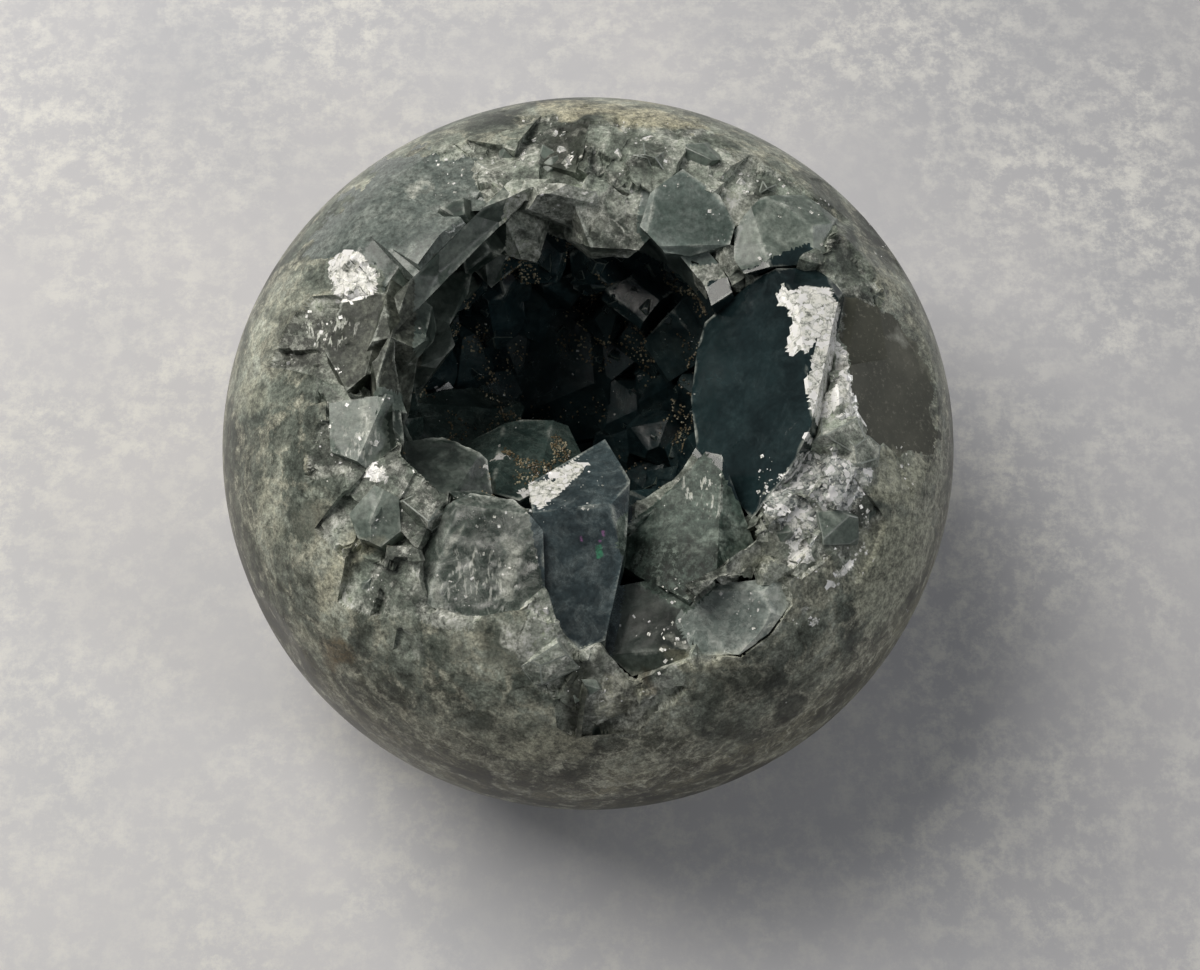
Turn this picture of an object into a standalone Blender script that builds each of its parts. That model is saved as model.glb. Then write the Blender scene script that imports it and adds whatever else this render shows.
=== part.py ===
"""Polished celestine geode, open on top, at its real size.

A nodule ground to a smooth round bowl form, with a natural hollow lined by blocky
crystals. Two pieces: the wall, which is the ground nodule with its broken rim, and
the crust of crystals that lines the hollow and stands in the mouth.
The origin is the middle of the ground base, +Z is up, +X is the side with the tall
blade crystal, and +Y is the back. All lengths below are in millimetres.
"""
import math
import random

import bmesh
import bpy
from mathutils import Vector

MM = 0.001
GAP = 0.3              # clearance between the wall and the crust

# The ground nodule: a rounded bowl form, a little flatter below than above.
HALF_WIDTH = 56.0      # along X
HALF_DEPTH = 56.0      # along Y
WAIST = 34.0           # height of the widest girth
CROWN = 42.0           # waist to the top of the full form
KEEL = 36.0            # waist to the bottom of the full form; the base cuts it off
ROUNDNESS = 2.35       # 2 is an ellipsoid, more is boxier

# Flats left by the grinding wheel: facing direction, and depth below the round form.
WHEEL_FLATS = (
    ((0.64, -0.06, 0.76), 1.9),
    ((0.66, 0.40, 0.64), 0.9),
    ((0.20, 0.93, 0.30), 0.9),
    ((-0.45, 0.80, 0.40), 0.6),
    ((-0.75, -0.55, 0.10), 0.5),
)

# The hollow, an upright oval, and the crust of crystals that lines it.
HOLLOW_CENTRE = Vector((-5.0, 1.0, 53.0))
HOLLOW_RADII = (25.5, 25.0, 34.0)
LINING = 3.5           # thickness of the crust between its crystals
# On the back left the wall reaches over the hollow as a slab; its underside is this plane.
SLAB_POINT = Vector((-22.0, 12.0, 71.0))
SLAB_FACING = Vector((-0.70, 0.58, 0.42)).normalized()
SKIN_COVER = 0.15      # the crust stays this far below the ground form

# The broken dish around the mouth, which slopes from the ground skin to the hollow.
DISH_CENTRE = Vector((6.0, -9.0, 82.0))
DISH_RADII = (38.0, 38.0, 23.0)

# Crystals that make the look of the piece. Each one is
#   outline: corners of its end seen from above (x, y), counter-clockwise
#   facets:  its end faces, each a point (x, y, z) and the rise per mm along X and Y
#   root:    how far the prism shifts along X and Y for each mm down
#   foot:    height at which it is buried in the crust
CRYSTALS = {
    "tall_blade": dict(
        outline=((24.3, 12.4), (18.1, 11.9), (15.9, 4.5), (14.9, -3.0), (15.6, -11.4), (22.6, -24.0),
                 (27.7, -18.4), (30.7, -12.9), (33.5, -1.0), (36.5, 9.0), (31.7, 15.9)),
        facets=(((30.0, -1.0, 69.4), (0.80, 0.05)), ((30.0, -1.0, 69.4), (-0.20, -0.02)),
                ((29.0, 6.5, 69.4), (-0.10, -0.32)), ((36.0, 9.0, 67.0), (-0.85, -0.43))),
        root=(0.35, 0.05), foot=42.0),
    "wedge": dict(
        outline=((16.3, -15.0), (4.8, -26.2), (4.8, -29.4), (7.3, -31.6), (13.6, -35.7), (23.2, -28.2),
                 (20.5, -21.0), (18.5, -15.9)),
        facets=(((16.3, -15.0, 65.0), (0.42, 0.08)), ((18.5, -15.9, 66.0), (-0.55, 0.15))),
        root=(0.15, -0.15), foot=42.0),
    "centre_blade": dict(
        outline=((-1.7, -15.0), (-8.0, -20.0), (-7.0, -27.0), (-5.5, -35.2), (-3.5, -40.2), (-0.9, -42.7),
                 (2.5, -41.5), (5.3, -29.5), (5.9, -20.0), (2.5, -11.7)),
        facets=(((-5.6, -25.7, 68.0), (0.0, 0.35)), ((-5.6, -25.0, 68.0), (0.10, -0.50)),
                ((4.5, -26.0, 67.2), (-0.9, 0.2))),
        root=(0.0, 0.05), foot=42.0),
    "clear_block": dict(
        outline=((-19.7, -24.0), (-22.7, -29.0), (-21.6, -36.8), (-15.5, -38.8), (-8.8, -38.1),
                 (-5.5, -35.7), (-5.8, -28.0), (-9.6, -23.3), (-15.7, -21.9)),
        facets=(((-14.0, -30.0, 66.3), (0.15, 0.30)), ((-15.0, -24.0, 67.6), (0.0, -0.45)),
                ((-20.0, -30.0, 65.0), (0.8, 0.1))),
        root=(0.05, 0.1), foot=42.0),
    "dark_step": dict(
        outline=((-27.0, -12.0), (-26.0, -18.0), (-20.0, -22.5), (-13.0, -20.5), (-14.0, -14.0),
                 (-20.4, -10.5)),
        facets=(((-20.0, -18.0, 63.0), (-0.10, -0.35)), ((-16.0, -16.0, 61.8), (-0.7, -0.1))),
        root=(-0.2, -0.2), foot=40.0),
    "striated_left": dict(
        outline=((-34.5, 7.0), (-36.5, -1.0), (-33.0, -7.5), (-28.5, -4.0), (-25.5, 1.5), (-27.0, 7.0)),
        facets=(((-31.0, 0.0, 69.5), (0.28, 0.02)), ((-29.0, 0.0, 69.7), (-0.85, 0.25))),
        root=(0.0, 0.0), foot=44.0),
    "left_corner": dict(
        outline=((-35.5, -9.0), (-35.0, -16.0), (-30.0, -18.5), (-25.5, -15.0), (-26.5, -8.8)),
        facets=(((-31.0, -13.0, 68.9), (0.28, 0.10)), ((-28.5, -13.0, 69.1), (-0.70, 0.50))),
        root=(0.1, 0.0), foot=44.0),
    "oval_knob": dict(
        outline=((-32.2, -24.6), (-31.0, -28.0), (-27.7, -29.2), (-25.0, -27.0), (-25.4, -23.0),
                 (-28.6, -21.2)),
        facets=(((-28.5, -25.0, 67.2), (0.45, 0.15)), ((-28.5, -25.0, 67.2), (-0.25, 0.45))),
        root=(0.15, 0.15), foot=50.0),
    "under_slab": dict(
        outline=((-30.5, 16.4), (-27.0, 6.6), (-21.3, 6.1), (-18.2, 7.9), (-17.4, 12.9), (-13.7, 21.6),
                 (-17.5, 26.5)),
        facets=(((-22.0, 14.0, 61.5), (-0.10, 0.0)), ((-18.5, 11.0, 61.0), (-1.3, 0.4)),
                ((-22.0, 7.5, 61.3), (0.1, 0.7))),
        root=(-0.35, 0.2), foot=38.0),
    "dark_ledge": dict(
        outline=((-30.5, 8.0), (-30.0, 1.5), (-22.0, 1.8), (-19.3, 5.2), (-20.1, 8.2)),
        facets=(((-25.0, 5.0, 59.0), (-0.10, 0.12)), ((-22.0, 3.0, 58.6), (-0.5, 0.9))),
        root=(-0.4, 0.0), foot=40.0),
    "blue_back": dict(
        outline=((7.5, 19.5), (11.1, 15.7), (14.7, 15.4), (20.4, 16.4), (21.2, 19.1), (19.0, 23.2),
                 (13.7, 27.0), (9.0, 23.9)),
        facets=(((13.7, 21.0, 69.3), (0.02, 0.33)), ((13.7, 16.2, 67.6), (0.0, 1.6)),
                ((9.0, 20.0, 68.9), (0.7, 0.2))),
        root=(0.1, 0.35), foot=46.0),
    "tooth": dict(
        outline=((5.0, 23.4), (6.2, 20.4), (9.2, 20.6), (9.9, 23.7), (7.6, 25.4)),
        facets=(((7.3, 22.5, 68.5), (0.0, 0.20)), ((7.3, 21.0, 68.0), (0.1, 1.3))),
        root=(0.0, 0.45), foot=52.0),
    "round_back": dict(
        outline=((21.0, 14.9), (22.4, 12.3), (30.5, 13.5), (35.0, 17.0), (36.0, 23.8), (30.8, 26.0),
                 (24.9, 23.4), (21.1, 18.8)),
        facets=(((28.0, 19.0, 68.2), (-0.20, 0.10)), ((33.0, 18.0, 66.8), (-0.8, 0.1)),
                ((24.0, 18.0, 68.6), (0.35, 0.25))),
        root=(0.3, 0.2), foot=48.0),
    "lens": dict(
        outline=((12.6, -37.9), (15.3, -42.4), (20.6, -42.6), (24.6, -40.0), (27.3, -36.0), (26.6, -32.2),
                 (17.3, -33.0), (14.6, -35.4)),
        facets=(((20.0, -37.0, 61.6), (0.15, 0.35)), ((19.0, -34.5, 62.4), (0.1, -0.5)),
                ((25.0, -36.0, 62.2), (-0.6, 0.1))),
        root=(-0.1, 0.25), foot=46.0),
    "green_floor": dict(
        outline=((3.8, -33.0), (0.8, -40.2), (6.2, -44.5), (13.6, -42.6), (15.3, -36.9), (11.0, -31.8)),
        facets=(((8.0, -38.0, 59.4), (0.12, 0.22)), ((8.0, -42.0, 58.4), (0.1, 0.8))),
        root=(-0.1, 0.35), foot=44.0),
    "back_block": dict(
        outline=((-10.0, 28.5), (-14.0, 8.0), (-3.0, 5.0), (8.2, 6.3), (7.6, 25.6), (-1.4, 31.0)),
        facets=(((-3.0, 16.0, 36.0), (0.35, 0.45)), ((0.5, 16.0, 37.2), (-0.85, 0.35)),
                ((-6.0, 9.0, 31.5), (0.1, 1.5))),
        root=(0.0, 0.2), foot=17.0),
    "back_pillar": dict(
        outline=((6.0, 30.0), (8.0, 8.0), (16.0, 5.0), (19.5, 22.0), (12.5, 31.0)),
        facets=(((10.0, 18.0, 37.0), (0.75, 0.35)), ((13.5, 18.0, 39.5), (-0.60, 0.45)),
                ((11.0, 9.5, 33.0), (0.0, 1.3))),
        root=(0.15, 0.2), foot=18.0),
    "left_block": dict(
        outline=((-28.5, 3.0), (-29.0, -6.0), (-22.0, -9.0), (-12.5, -3.7), (-10.0, 6.5), (-18.2, 9.0)),
        facets=(((-20.0, 0.0, 43.5), (-0.45, -0.15)), ((-17.0, 3.0, 42.0), (-0.35, -0.8)),
                ((-14.5, -1.0, 41.0), (-1.3, 0.1))),
        root=(-0.1, 0.0), foot=20.0),
    "front_block": dict(
        outline=((-19.5, -5.0), (-18.5, -15.0), (-9.7, -17.5), (0.5, -9.0), (-3.0, -1.0), (-10.0, -1.0)),
        facets=(((-10.0, -10.0, 50.5), (-0.10, -0.45)), ((-6.0, -8.0, 49.0), (-0.75, -0.35)),
                ((-14.0, -8.0, 49.4), (0.5, -0.5))),
        root=(-0.05, -0.1), foot=20.0),
}

IN_THE_MOUTH = ("tall_blade", "wedge", "centre_blade", "clear_block", "dark_step", "striated_left",
                "left_corner", "oval_knob", "blue_back", "tooth", "round_back", "lens", "green_floor")

# Larger breaks in the rim: outline seen from above, depth below the ground form at its
# middle, and how far the break leans out of the ground surface along X and Y.
BREAKS = {
    "cleavage_band": (((28.0, -14.5), (38.5, -14.5), (39.5, -2.0), (38.0, 9.0), (30.0, 7.0)),
                      1.4, (-0.24, 0.00)),
    "crinkled_patch": (((22.1, -21.7), (20.7, -27.3), (25.6, -32.0), (28.7, -33.2), (37.2, -25.7),
                        (39.5, -21.6), (38.8, -18.1), (33.4, -14.0), (26.7, -15.4)), 1.9, (0.02, 0.13)),
    "lens_shoulder": (((19.0, -26.0), (19.0, -33.5), (27.5, -33.5), (30.5, -28.5), (26.0, -22.0)),
                      3.6, (0.05, 0.05)),
    "pale_triangle": (((1.0, -42.6), (-0.8, -52.0), (7.1, -51.2), (11.5, -46.8)), 1.2, (0.0, 0.22)),
    "dark_notch": (((-5.5, -41.0), (-4.0, -51.0), (-1.5, -52.0), (0.5, -42.0)), 1.5, (0.12, 0.16)),
}

# Chips along the rim: each is a flat that runs down from the ground skin to the mouth.
CHIP_SEED = 4
CHIP_COUNT = 34
CHIP_MIDDLE = (1.5, -5.5)      # they stand around this point
CHIP_START = (37.0, 46.0)      # distance from it at which a chip leaves the skin
CHIP_INNER = 17.0              # and where it ends, inside the mouth
CHIP_WIDTH = (7.0, 14.0)
CHIP_DROP = (0.30, 0.60)       # fall below the skin per mm
CHIP_SKEW = 0.45               # most that it turns off the radial line, in radians

# Smaller crystals that fill the lining between the ones above.
FILL_SEED = 11
FILL_COUNT = 110
FILL_WIDTH = (8.0, 14.0)
FILL_THICK = (6.0, 10.0)
FILL_LENGTH = (3.0, 8.0)
FILL_LOWEST = -0.97    # span of the seats, from -1 at the bottom of the hollow to 1 at its top
FILL_HIGHEST = 0.46
MOUTH_CRYSTALS_ABOVE = 46.0

BALL_SUBDIVISIONS = 3  # fineness of the two rough balls that are cut out
HOLLOW_ROUGHNESS = 0.03
HOLLOW_SEED = 1
DISH_ROUGHNESS = 0.035
DISH_SEED = 5
FORM_SIDES = 48        # fineness of the ground form, around and from top to bottom
FORM_RINGS = 24
LARGE_BLANK = 160.0    # size of the block that a large crystal is cut from
SMALL_BLANK = 60.0     # the same for the crystals of the lining
BREAK_BLANK = 200.0    # and for what a break takes away
ABOVE_ALL = 90.0       # a height that is clear of the whole piece
SOCKET_BITE = 0.2      # a large crystal overlaps the lining around it by this much
PLUG_EXTRA = 0.6       # the seat for the lining is cut this much wider than the lining
WELD = 0.001           # corners closer than this after the Booleans are one corner


def clear_scene():
    for old in list(bpy.data.objects):
        bpy.data.objects.remove(old)


def signed_power(value, power):
    return math.copysign(abs(value) ** power, value)


def on_form(direction, inset=0.0):
    """The point of the ground form that lies in this direction of a unit sphere."""
    flat = math.hypot(direction.x, direction.y)
    turn = math.atan2(direction.y, direction.x)
    lift = math.atan2(direction.z, flat)
    ring = signed_power(math.cos(lift), 2 / ROUNDNESS)
    rise = signed_power(math.sin(lift), 2 / ROUNDNESS)
    tall = (CROWN if rise > 0 else KEEL) - inset
    return Vector(((HALF_WIDTH - inset) * ring * math.cos(turn),
                   (HALF_DEPTH - inset) * ring * math.sin(turn),
                   WAIST + tall * rise))


def form_height(x, y):
    """Height of the ground form's crown above a point of the base."""
    reach = math.hypot(x / HALF_WIDTH, y / HALF_DEPTH)
    return WAIST + CROWN * max(0.0, 1 - reach ** ROUNDNESS) ** (1 / ROUNDNESS)


def form_slope(x, y, step=0.5):
    """Rise of the crown per mm along X and along Y."""
    along_x = (form_height(x + step, y) - form_height(x - step, y)) / (2 * step)
    along_y = (form_height(x, y + step) - form_height(x, y - step)) / (2 * step)
    return along_x, along_y


def plane_from_slope(point, slope):
    """A plane, as its point and upward normal, from its rise along X and Y."""
    return Vector(point), Vector((-slope[0], -slope[1], 1.0)).normalized()


def height_on(plane, x, y):
    point, normal = plane
    return point.z - (normal.x * (x - point.x) + normal.y * (y - point.y)) / normal.z


def cut_convex(bm, plane, grow=0.0):
    """Cut away what lies outside a plane and close the body again."""
    point, normal = plane
    bmesh.ops.bisect_plane(bm, geom=bm.verts[:] + bm.edges[:] + bm.faces[:], dist=1e-5,
                           plane_co=point + normal * grow, plane_no=normal, clear_outer=True)
    rim = [edge for edge in bm.edges if edge.is_boundary]
    if rim:
        bmesh.ops.holes_fill(bm, edges=rim, sides=0)


def block(planes, size, centre, grow=0.0):
    """A convex crystal: a cube cut by planes, as its faces grew."""
    bm = bmesh.new()
    bmesh.ops.create_cube(bm, size=size)
    bmesh.ops.translate(bm, verts=bm.verts, vec=centre)
    for plane in planes:
        cut_convex(bm, plane, grow)
    bmesh.ops.recalc_face_normals(bm, faces=bm.faces)
    return bm


def named_crystal(spec, grow=0.0, open_top=False):
    """A prism of the given outline whose end is cut by its facets, or left open upward."""
    tops = [plane_from_slope(point, slope) for point, slope in spec["facets"]]
    down = Vector((spec["root"][0], spec["root"][1], -1.0)).normalized()
    corners = [Vector((x, y, min(height_on(top, x, y) for top in tops))) for x, y in spec["outline"]]
    planes = [] if open_top else list(tops)
    for here, after in zip(corners, corners[1:] + corners[:1]):
        planes.append((here, (after - here).cross(-down).normalized()))
    planes.append((Vector((0, 0, spec["foot"])), Vector((0, 0, -1))))
    middle = sum(corners, Vector()) / len(corners)
    return block(planes, LARGE_BLANK, middle, grow)


def fill_crystal(seat, inward, rng, grow=0.0):
    """A short crystal with a chisel end, standing on the lining."""
    side = inward.orthogonal().normalized()
    turn = rng.uniform(0, 2 * math.pi)
    across = side * math.cos(turn) + inward.cross(side) * math.sin(turn)
    along = inward.cross(across)
    half_width = rng.uniform(*FILL_WIDTH) / 2
    half_thick = rng.uniform(*FILL_THICK) / 2
    length = rng.uniform(*FILL_LENGTH)
    tip = seat + inward * length
    planes = [(seat - inward * LINING * 0.6, -inward)]
    for way, reach in ((across, half_width), (-across, half_width), (along, half_thick), (-along, half_thick)):
        lean = inward * rng.uniform(0.04, 0.16)
        planes.append((seat + way * reach, (way + lean).normalized()))
    for sign in (1, -1):
        planes.append((tip, (inward + across * sign * rng.uniform(0.5, 0.9)).normalized()))
    planes.append((tip - inward * 0.8, (inward + along * rng.uniform(-0.6, 0.6)).normalized()))
    corner = (across * rng.choice((1, -1)) + along * rng.choice((1, -1))).normalized()
    planes.append((seat + corner * half_thick * 1.15, (corner + inward * 0.25).normalized()))
    return block(planes, SMALL_BLANK, seat, grow)


def rough_ball(centre, radii, roughness, seed):
    """A ball of flat breaks: an icosphere whose corners lie unevenly."""
    rng = random.Random(seed)
    bm = bmesh.new()
    bmesh.ops.create_icosphere(bm, subdivisions=BALL_SUBDIVISIONS, radius=1.0)
    for vert in bm.verts:
        vert.co *= 1 + rng.uniform(-roughness, roughness)
    bmesh.ops.scale(bm, verts=bm.verts, vec=radii)
    bmesh.ops.translate(bm, verts=bm.verts, vec=centre)
    return bm


def hollow_ball(extra):
    """The hollow, grown by extra."""
    radii = [radius + extra for radius in HOLLOW_RADII]
    bm = rough_ball(HOLLOW_CENTRE, radii, HOLLOW_ROUGHNESS, HOLLOW_SEED)
    cut_convex(bm, (SLAB_POINT, SLAB_FACING), extra - LINING)
    return bm


def dish_ball():
    """What is broken out of the form around the mouth."""
    return rough_ball(DISH_CENTRE, DISH_RADII, DISH_ROUGHNESS, DISH_SEED)


def ground_form(inset=0.0):
    """The ground nodule: the round form, its wheel flats and its flat base."""
    bm = bmesh.new()
    bmesh.ops.create_uvsphere(bm, u_segments=FORM_SIDES, v_segments=FORM_RINGS, radius=1.0)
    for vert in bm.verts:
        vert.co = on_form(vert.co, inset)
    for facing, depth in WHEEL_FLATS:
        normal = Vector(facing).normalized()
        reach = max(vert.co.dot(normal) for vert in bm.verts) - depth
        cut_convex(bm, (normal * reach, normal))
    cut_convex(bm, (Vector((0, 0, inset)), Vector((0, 0, -1))))
    bmesh.ops.recalc_face_normals(bm, faces=bm.faces)
    return bm


def rim_break(outline, depth, lean):
    """What a break takes off the rim: everything above its plane within its outline."""
    x = sum(corner[0] for corner in outline) / len(outline)
    y = sum(corner[1] for corner in outline) / len(outline)
    slope = form_slope(x, y)
    floor = plane_from_slope((x, y, form_height(x, y) - depth), (slope[0] + lean[0], slope[1] + lean[1]))
    planes = [(floor[0], -floor[1]), (Vector((0, 0, ABOVE_ALL)), Vector((0, 0, 1)))]
    for here, after in zip(outline, outline[1:] + outline[:1]):
        edge = Vector((after[0] - here[0], after[1] - here[1], 0.0))
        planes.append((Vector((*here, 0.0)), edge.cross(Vector((0, 0, 1))).normalized()))
    return block(planes, BREAK_BLANK, Vector((x, y, 0.0)))


def rim_chips():
    """Breaks of random width that slope down to the mouth all the way around."""
    rng = random.Random(CHIP_SEED)
    middle = Vector((*CHIP_MIDDLE, 0.0))
    for index in range(CHIP_COUNT):
        turn = 2 * math.pi * (index + rng.uniform(-0.4, 0.4)) / CHIP_COUNT
        out = Vector((math.cos(turn), math.sin(turn), 0.0))
        start = middle + out * rng.uniform(*CHIP_START)
        skew = turn + rng.uniform(-CHIP_SKEW, CHIP_SKEW)
        way = Vector((math.cos(skew), math.sin(skew), 0.0))
        side = Vector((-way.y, way.x, 0.0))
        half = rng.uniform(*CHIP_WIDTH) / 2
        drop = rng.uniform(*CHIP_DROP)
        slope = form_slope(start.x, start.y)
        floor = plane_from_slope((start.x, start.y, form_height(start.x, start.y)),
                                 (slope[0] + drop * way.x, slope[1] + drop * way.y))
        planes = [(floor[0], -floor[1]), (Vector((0, 0, ABOVE_ALL)), Vector((0, 0, 1))),
                  (start + side * half, (side + way * rng.uniform(-0.3, 0.3)).normalized()),
                  (start - side * half, (-side + way * rng.uniform(-0.3, 0.3)).normalized()),
                  (start + way, way), (middle + out * CHIP_INNER, -way)]
        yield block(planes, BREAK_BLANK, Vector((start.x, start.y, 0.0)))


def among_mouth_crystals(seat):
    """Whether a seat lies where the large crystals of the right and the front stand."""
    return seat.z > MOUTH_CRYSTALS_ABOVE and (seat.x > 3.0 or seat.y < -7.0)


def fill_seats():
    """Evenly spread seats on the lining, each with its direction into the hollow."""
    golden = math.pi * (3 - math.sqrt(5))
    for index in range(FILL_COUNT):
        level = FILL_LOWEST + (FILL_HIGHEST - FILL_LOWEST) * index / (FILL_COUNT - 1)
        ring = math.sqrt(1 - level * level)
        turn = index * golden
        unit = Vector((ring * math.cos(turn), ring * math.sin(turn), level))
        seat = HOLLOW_CENTRE + Vector([unit[axis] * HOLLOW_RADII[axis] for axis in range(3)])
        facing = Vector([-unit[axis] / HOLLOW_RADII[axis] for axis in range(3)]).normalized()
        if not among_mouth_crystals(seat):
            yield seat, facing


def all_crystals(grow, clear_above=False):
    """Every crystal as its own body, grown outward by grow on all its faces.

    With clear_above, those of the mouth also reach up, to take the wall off their ends.
    """
    for name, spec in CRYSTALS.items():
        yield named_crystal(spec, grow, clear_above and name in IN_THE_MOUTH)
    rng = random.Random(FILL_SEED)
    for seat, facing in fill_seats():
        jitter = Vector([rng.uniform(-0.35, 0.35) for axis in range(3)])
        yield fill_crystal(seat, (facing + jitter).normalized(), rng, grow)


def mouth_sockets():
    """What the large crystals of the mouth take out of the lining, up past their ends."""
    for name in IN_THE_MOUTH:
        yield named_crystal(CRYSTALS[name], -SOCKET_BITE, open_top=True)


def gather(bodies):
    """Put several bodies in one bmesh; a Boolean then joins them."""
    whole = bmesh.new()
    for body in bodies:
        part = bpy.data.meshes.new("part")
        body.to_mesh(part)
        body.free()
        whole.from_mesh(part)
        bpy.data.meshes.remove(part)
    return whole


def make_object(name, bm):
    mesh = bpy.data.meshes.new(name)
    bmesh.ops.scale(bm, verts=bm.verts, vec=(MM, MM, MM))
    bm.to_mesh(mesh)
    bm.free()
    thing = bpy.data.objects.new(name, mesh)
    bpy.context.scene.collection.objects.link(thing)
    return thing


def cutter(name, bm):
    thing = make_object(name, bm)
    thing.hide_render = True
    thing.display_type = "WIRE"
    return thing


def combine(thing, other, operation, overlapping=False):
    step = thing.modifiers.new(operation.lower() + "_" + other.name, "BOOLEAN")
    step.operation = operation
    step.solver = "EXACT"
    step.object = other
    step.use_self = overlapping


def settle(thing):
    """Apply the Booleans, keep the one real body and drop crumbs and closed voids."""
    bpy.context.view_layer.update()
    depsgraph = bpy.context.evaluated_depsgraph_get()
    mesh = bpy.data.meshes.new_from_object(thing.evaluated_get(depsgraph))
    thing.modifiers.clear()
    bm = bmesh.new()
    bm.from_mesh(mesh)
    bmesh.ops.remove_doubles(bm, verts=bm.verts, dist=WELD * MM)
    bmesh.ops.dissolve_degenerate(bm, edges=bm.edges, dist=WELD * MM)
    islands = find_islands(bm)
    keep = max(islands, key=len)
    for island in islands:
        if island is not keep:
            bmesh.ops.delete(bm, geom=island, context="FACES")
    bmesh.ops.triangulate(bm, faces=bm.faces)
    bm.to_mesh(mesh)
    bm.free()
    thing.data = mesh


def find_islands(bm):
    """Groups of faces that hang together."""
    seen = set()
    islands = []
    for face in bm.faces:
        if face in seen:
            continue
        seen.add(face)
        group = [face]
        for member in group:
            for edge in member.edges:
                for neighbour in edge.link_faces:
                    if neighbour not in seen:
                        seen.add(neighbour)
                        group.append(neighbour)
        islands.append(group)
    return islands


def finish(name, colour, roughness, transmission=0.0):
    material = bpy.data.materials.new(name)
    material.use_nodes = True
    shader = material.node_tree.nodes["Principled BSDF"]
    shader.inputs["Base Color"].default_value = (*colour, 1.0)
    shader.inputs["Roughness"].default_value = roughness
    shader.inputs["Metallic"].default_value = 0.0
    shader.inputs["Transmission Weight"].default_value = transmission
    material.diffuse_color = (*colour, 1.0)
    return material


def build_crust():
    """The lining and all its crystals, cut off where the form was ground."""
    crust = make_object("crystal_crust", hollow_ball(LINING))
    hollow = cutter("hollow_cutter", hollow_ball(0.0))
    dish = cutter("mouth_cutter", dish_ball())
    sockets = cutter("mouth_sockets", gather(mouth_sockets()))
    crystals = cutter("crystal_bodies", gather(all_crystals(0.0)))
    ground = cutter("ground_limit", ground_form(SKIN_COVER))
    combine(crust, hollow, "DIFFERENCE")
    combine(crust, dish, "DIFFERENCE")
    combine(crust, sockets, "DIFFERENCE", overlapping=True)
    combine(crust, crystals, "UNION", overlapping=True)
    combine(crust, ground, "INTERSECT")
    settle(crust)
    return crust


def build_wall():
    """The ground nodule with the seat of the crust and the breaks of the rim taken out."""
    wall = make_object("geode_wall", ground_form())
    seat = cutter("seat_cutter", hollow_ball(LINING + PLUG_EXTRA))
    dish = cutter("dish_cutter", dish_ball())
    sockets = cutter("socket_cutter", gather(all_crystals(GAP, clear_above=True)))
    breaks = cutter("break_cutter", gather(rim_break(*numbers) for numbers in BREAKS.values()))
    chips = cutter("chip_cutter", gather(rim_chips()))
    combine(wall, seat, "DIFFERENCE")
    combine(wall, dish, "DIFFERENCE")
    combine(wall, sockets, "DIFFERENCE", overlapping=True)
    combine(wall, breaks, "DIFFERENCE", overlapping=True)
    combine(wall, chips, "DIFFERENCE", overlapping=True)
    settle(wall)
    return wall


def main():
    clear_scene()
    wall = build_wall()
    wall.data.materials.clear()
    wall.data.materials.append(finish("polished_celestine", (0.19, 0.20, 0.16), 0.25))
    crust = build_crust()
    crust.data.materials.clear()
    crust.data.materials.append(finish("clear_celestine", (0.10, 0.16, 0.18), 0.08, 0.8))


main()
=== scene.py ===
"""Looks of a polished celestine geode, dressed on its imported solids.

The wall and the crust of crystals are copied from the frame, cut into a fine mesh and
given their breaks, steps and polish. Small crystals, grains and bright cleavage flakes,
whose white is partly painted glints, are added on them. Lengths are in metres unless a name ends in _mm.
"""
import math
import random

import bmesh
import bpy
from mathutils import Matrix, Vector, noise
from mathutils.bvhtree import BVHTree
from mathutils.kdtree import KDTree


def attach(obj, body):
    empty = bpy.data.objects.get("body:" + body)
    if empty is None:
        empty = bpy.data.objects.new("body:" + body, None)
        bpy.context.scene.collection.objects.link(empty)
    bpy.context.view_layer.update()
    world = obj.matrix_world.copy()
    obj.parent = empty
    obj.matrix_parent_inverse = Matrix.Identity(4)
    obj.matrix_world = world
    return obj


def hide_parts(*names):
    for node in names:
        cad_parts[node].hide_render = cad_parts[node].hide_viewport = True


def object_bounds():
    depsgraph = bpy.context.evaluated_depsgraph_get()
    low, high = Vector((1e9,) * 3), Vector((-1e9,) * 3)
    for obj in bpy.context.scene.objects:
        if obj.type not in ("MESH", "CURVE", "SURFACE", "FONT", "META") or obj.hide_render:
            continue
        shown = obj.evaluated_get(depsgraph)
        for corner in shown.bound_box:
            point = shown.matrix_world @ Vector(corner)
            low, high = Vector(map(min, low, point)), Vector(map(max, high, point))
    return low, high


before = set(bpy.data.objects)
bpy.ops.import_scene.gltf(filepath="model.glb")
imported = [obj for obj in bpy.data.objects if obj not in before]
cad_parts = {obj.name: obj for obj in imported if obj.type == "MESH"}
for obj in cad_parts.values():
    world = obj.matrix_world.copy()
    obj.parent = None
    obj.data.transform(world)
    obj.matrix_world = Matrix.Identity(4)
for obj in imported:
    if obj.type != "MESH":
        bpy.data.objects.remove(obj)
cad_box = [[float(value) for value in corner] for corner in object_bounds()]

MM = 0.001

# One seed keeps the noise of the breaks the same in every run.
NOISE_SEED = 7
noise.seed_set(NOISE_SEED)

# The ground form of the nodule, as in the solids.
HALF_WIDTH = 56.0 * MM
WAIST = 34.0 * MM
CROWN = 42.0 * MM
KEEL = 36.0 * MM
ROUNDNESS = 2.35
FORM_MIDDLE = Vector((0.0, 0.0, WAIST))
WHEEL_FLATS = ((0.64, -0.06, 0.76), (0.66, 0.40, 0.64), (0.20, 0.93, 0.30), (-0.45, 0.80, 0.40),
               (-0.75, -0.55, 0.10), (0.0, 0.0, -1.0))

# The hollow, and the seat of the crust in the wall.
HOLLOW_CENTRE = Vector((-5.0, 1.0, 53.0)) * MM
SEAT_RADII = Vector((29.0, 28.5, 37.5)) * MM
MOUTH_MIDDLE = Vector((1.5, -5.5, 0.0)) * MM

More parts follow.
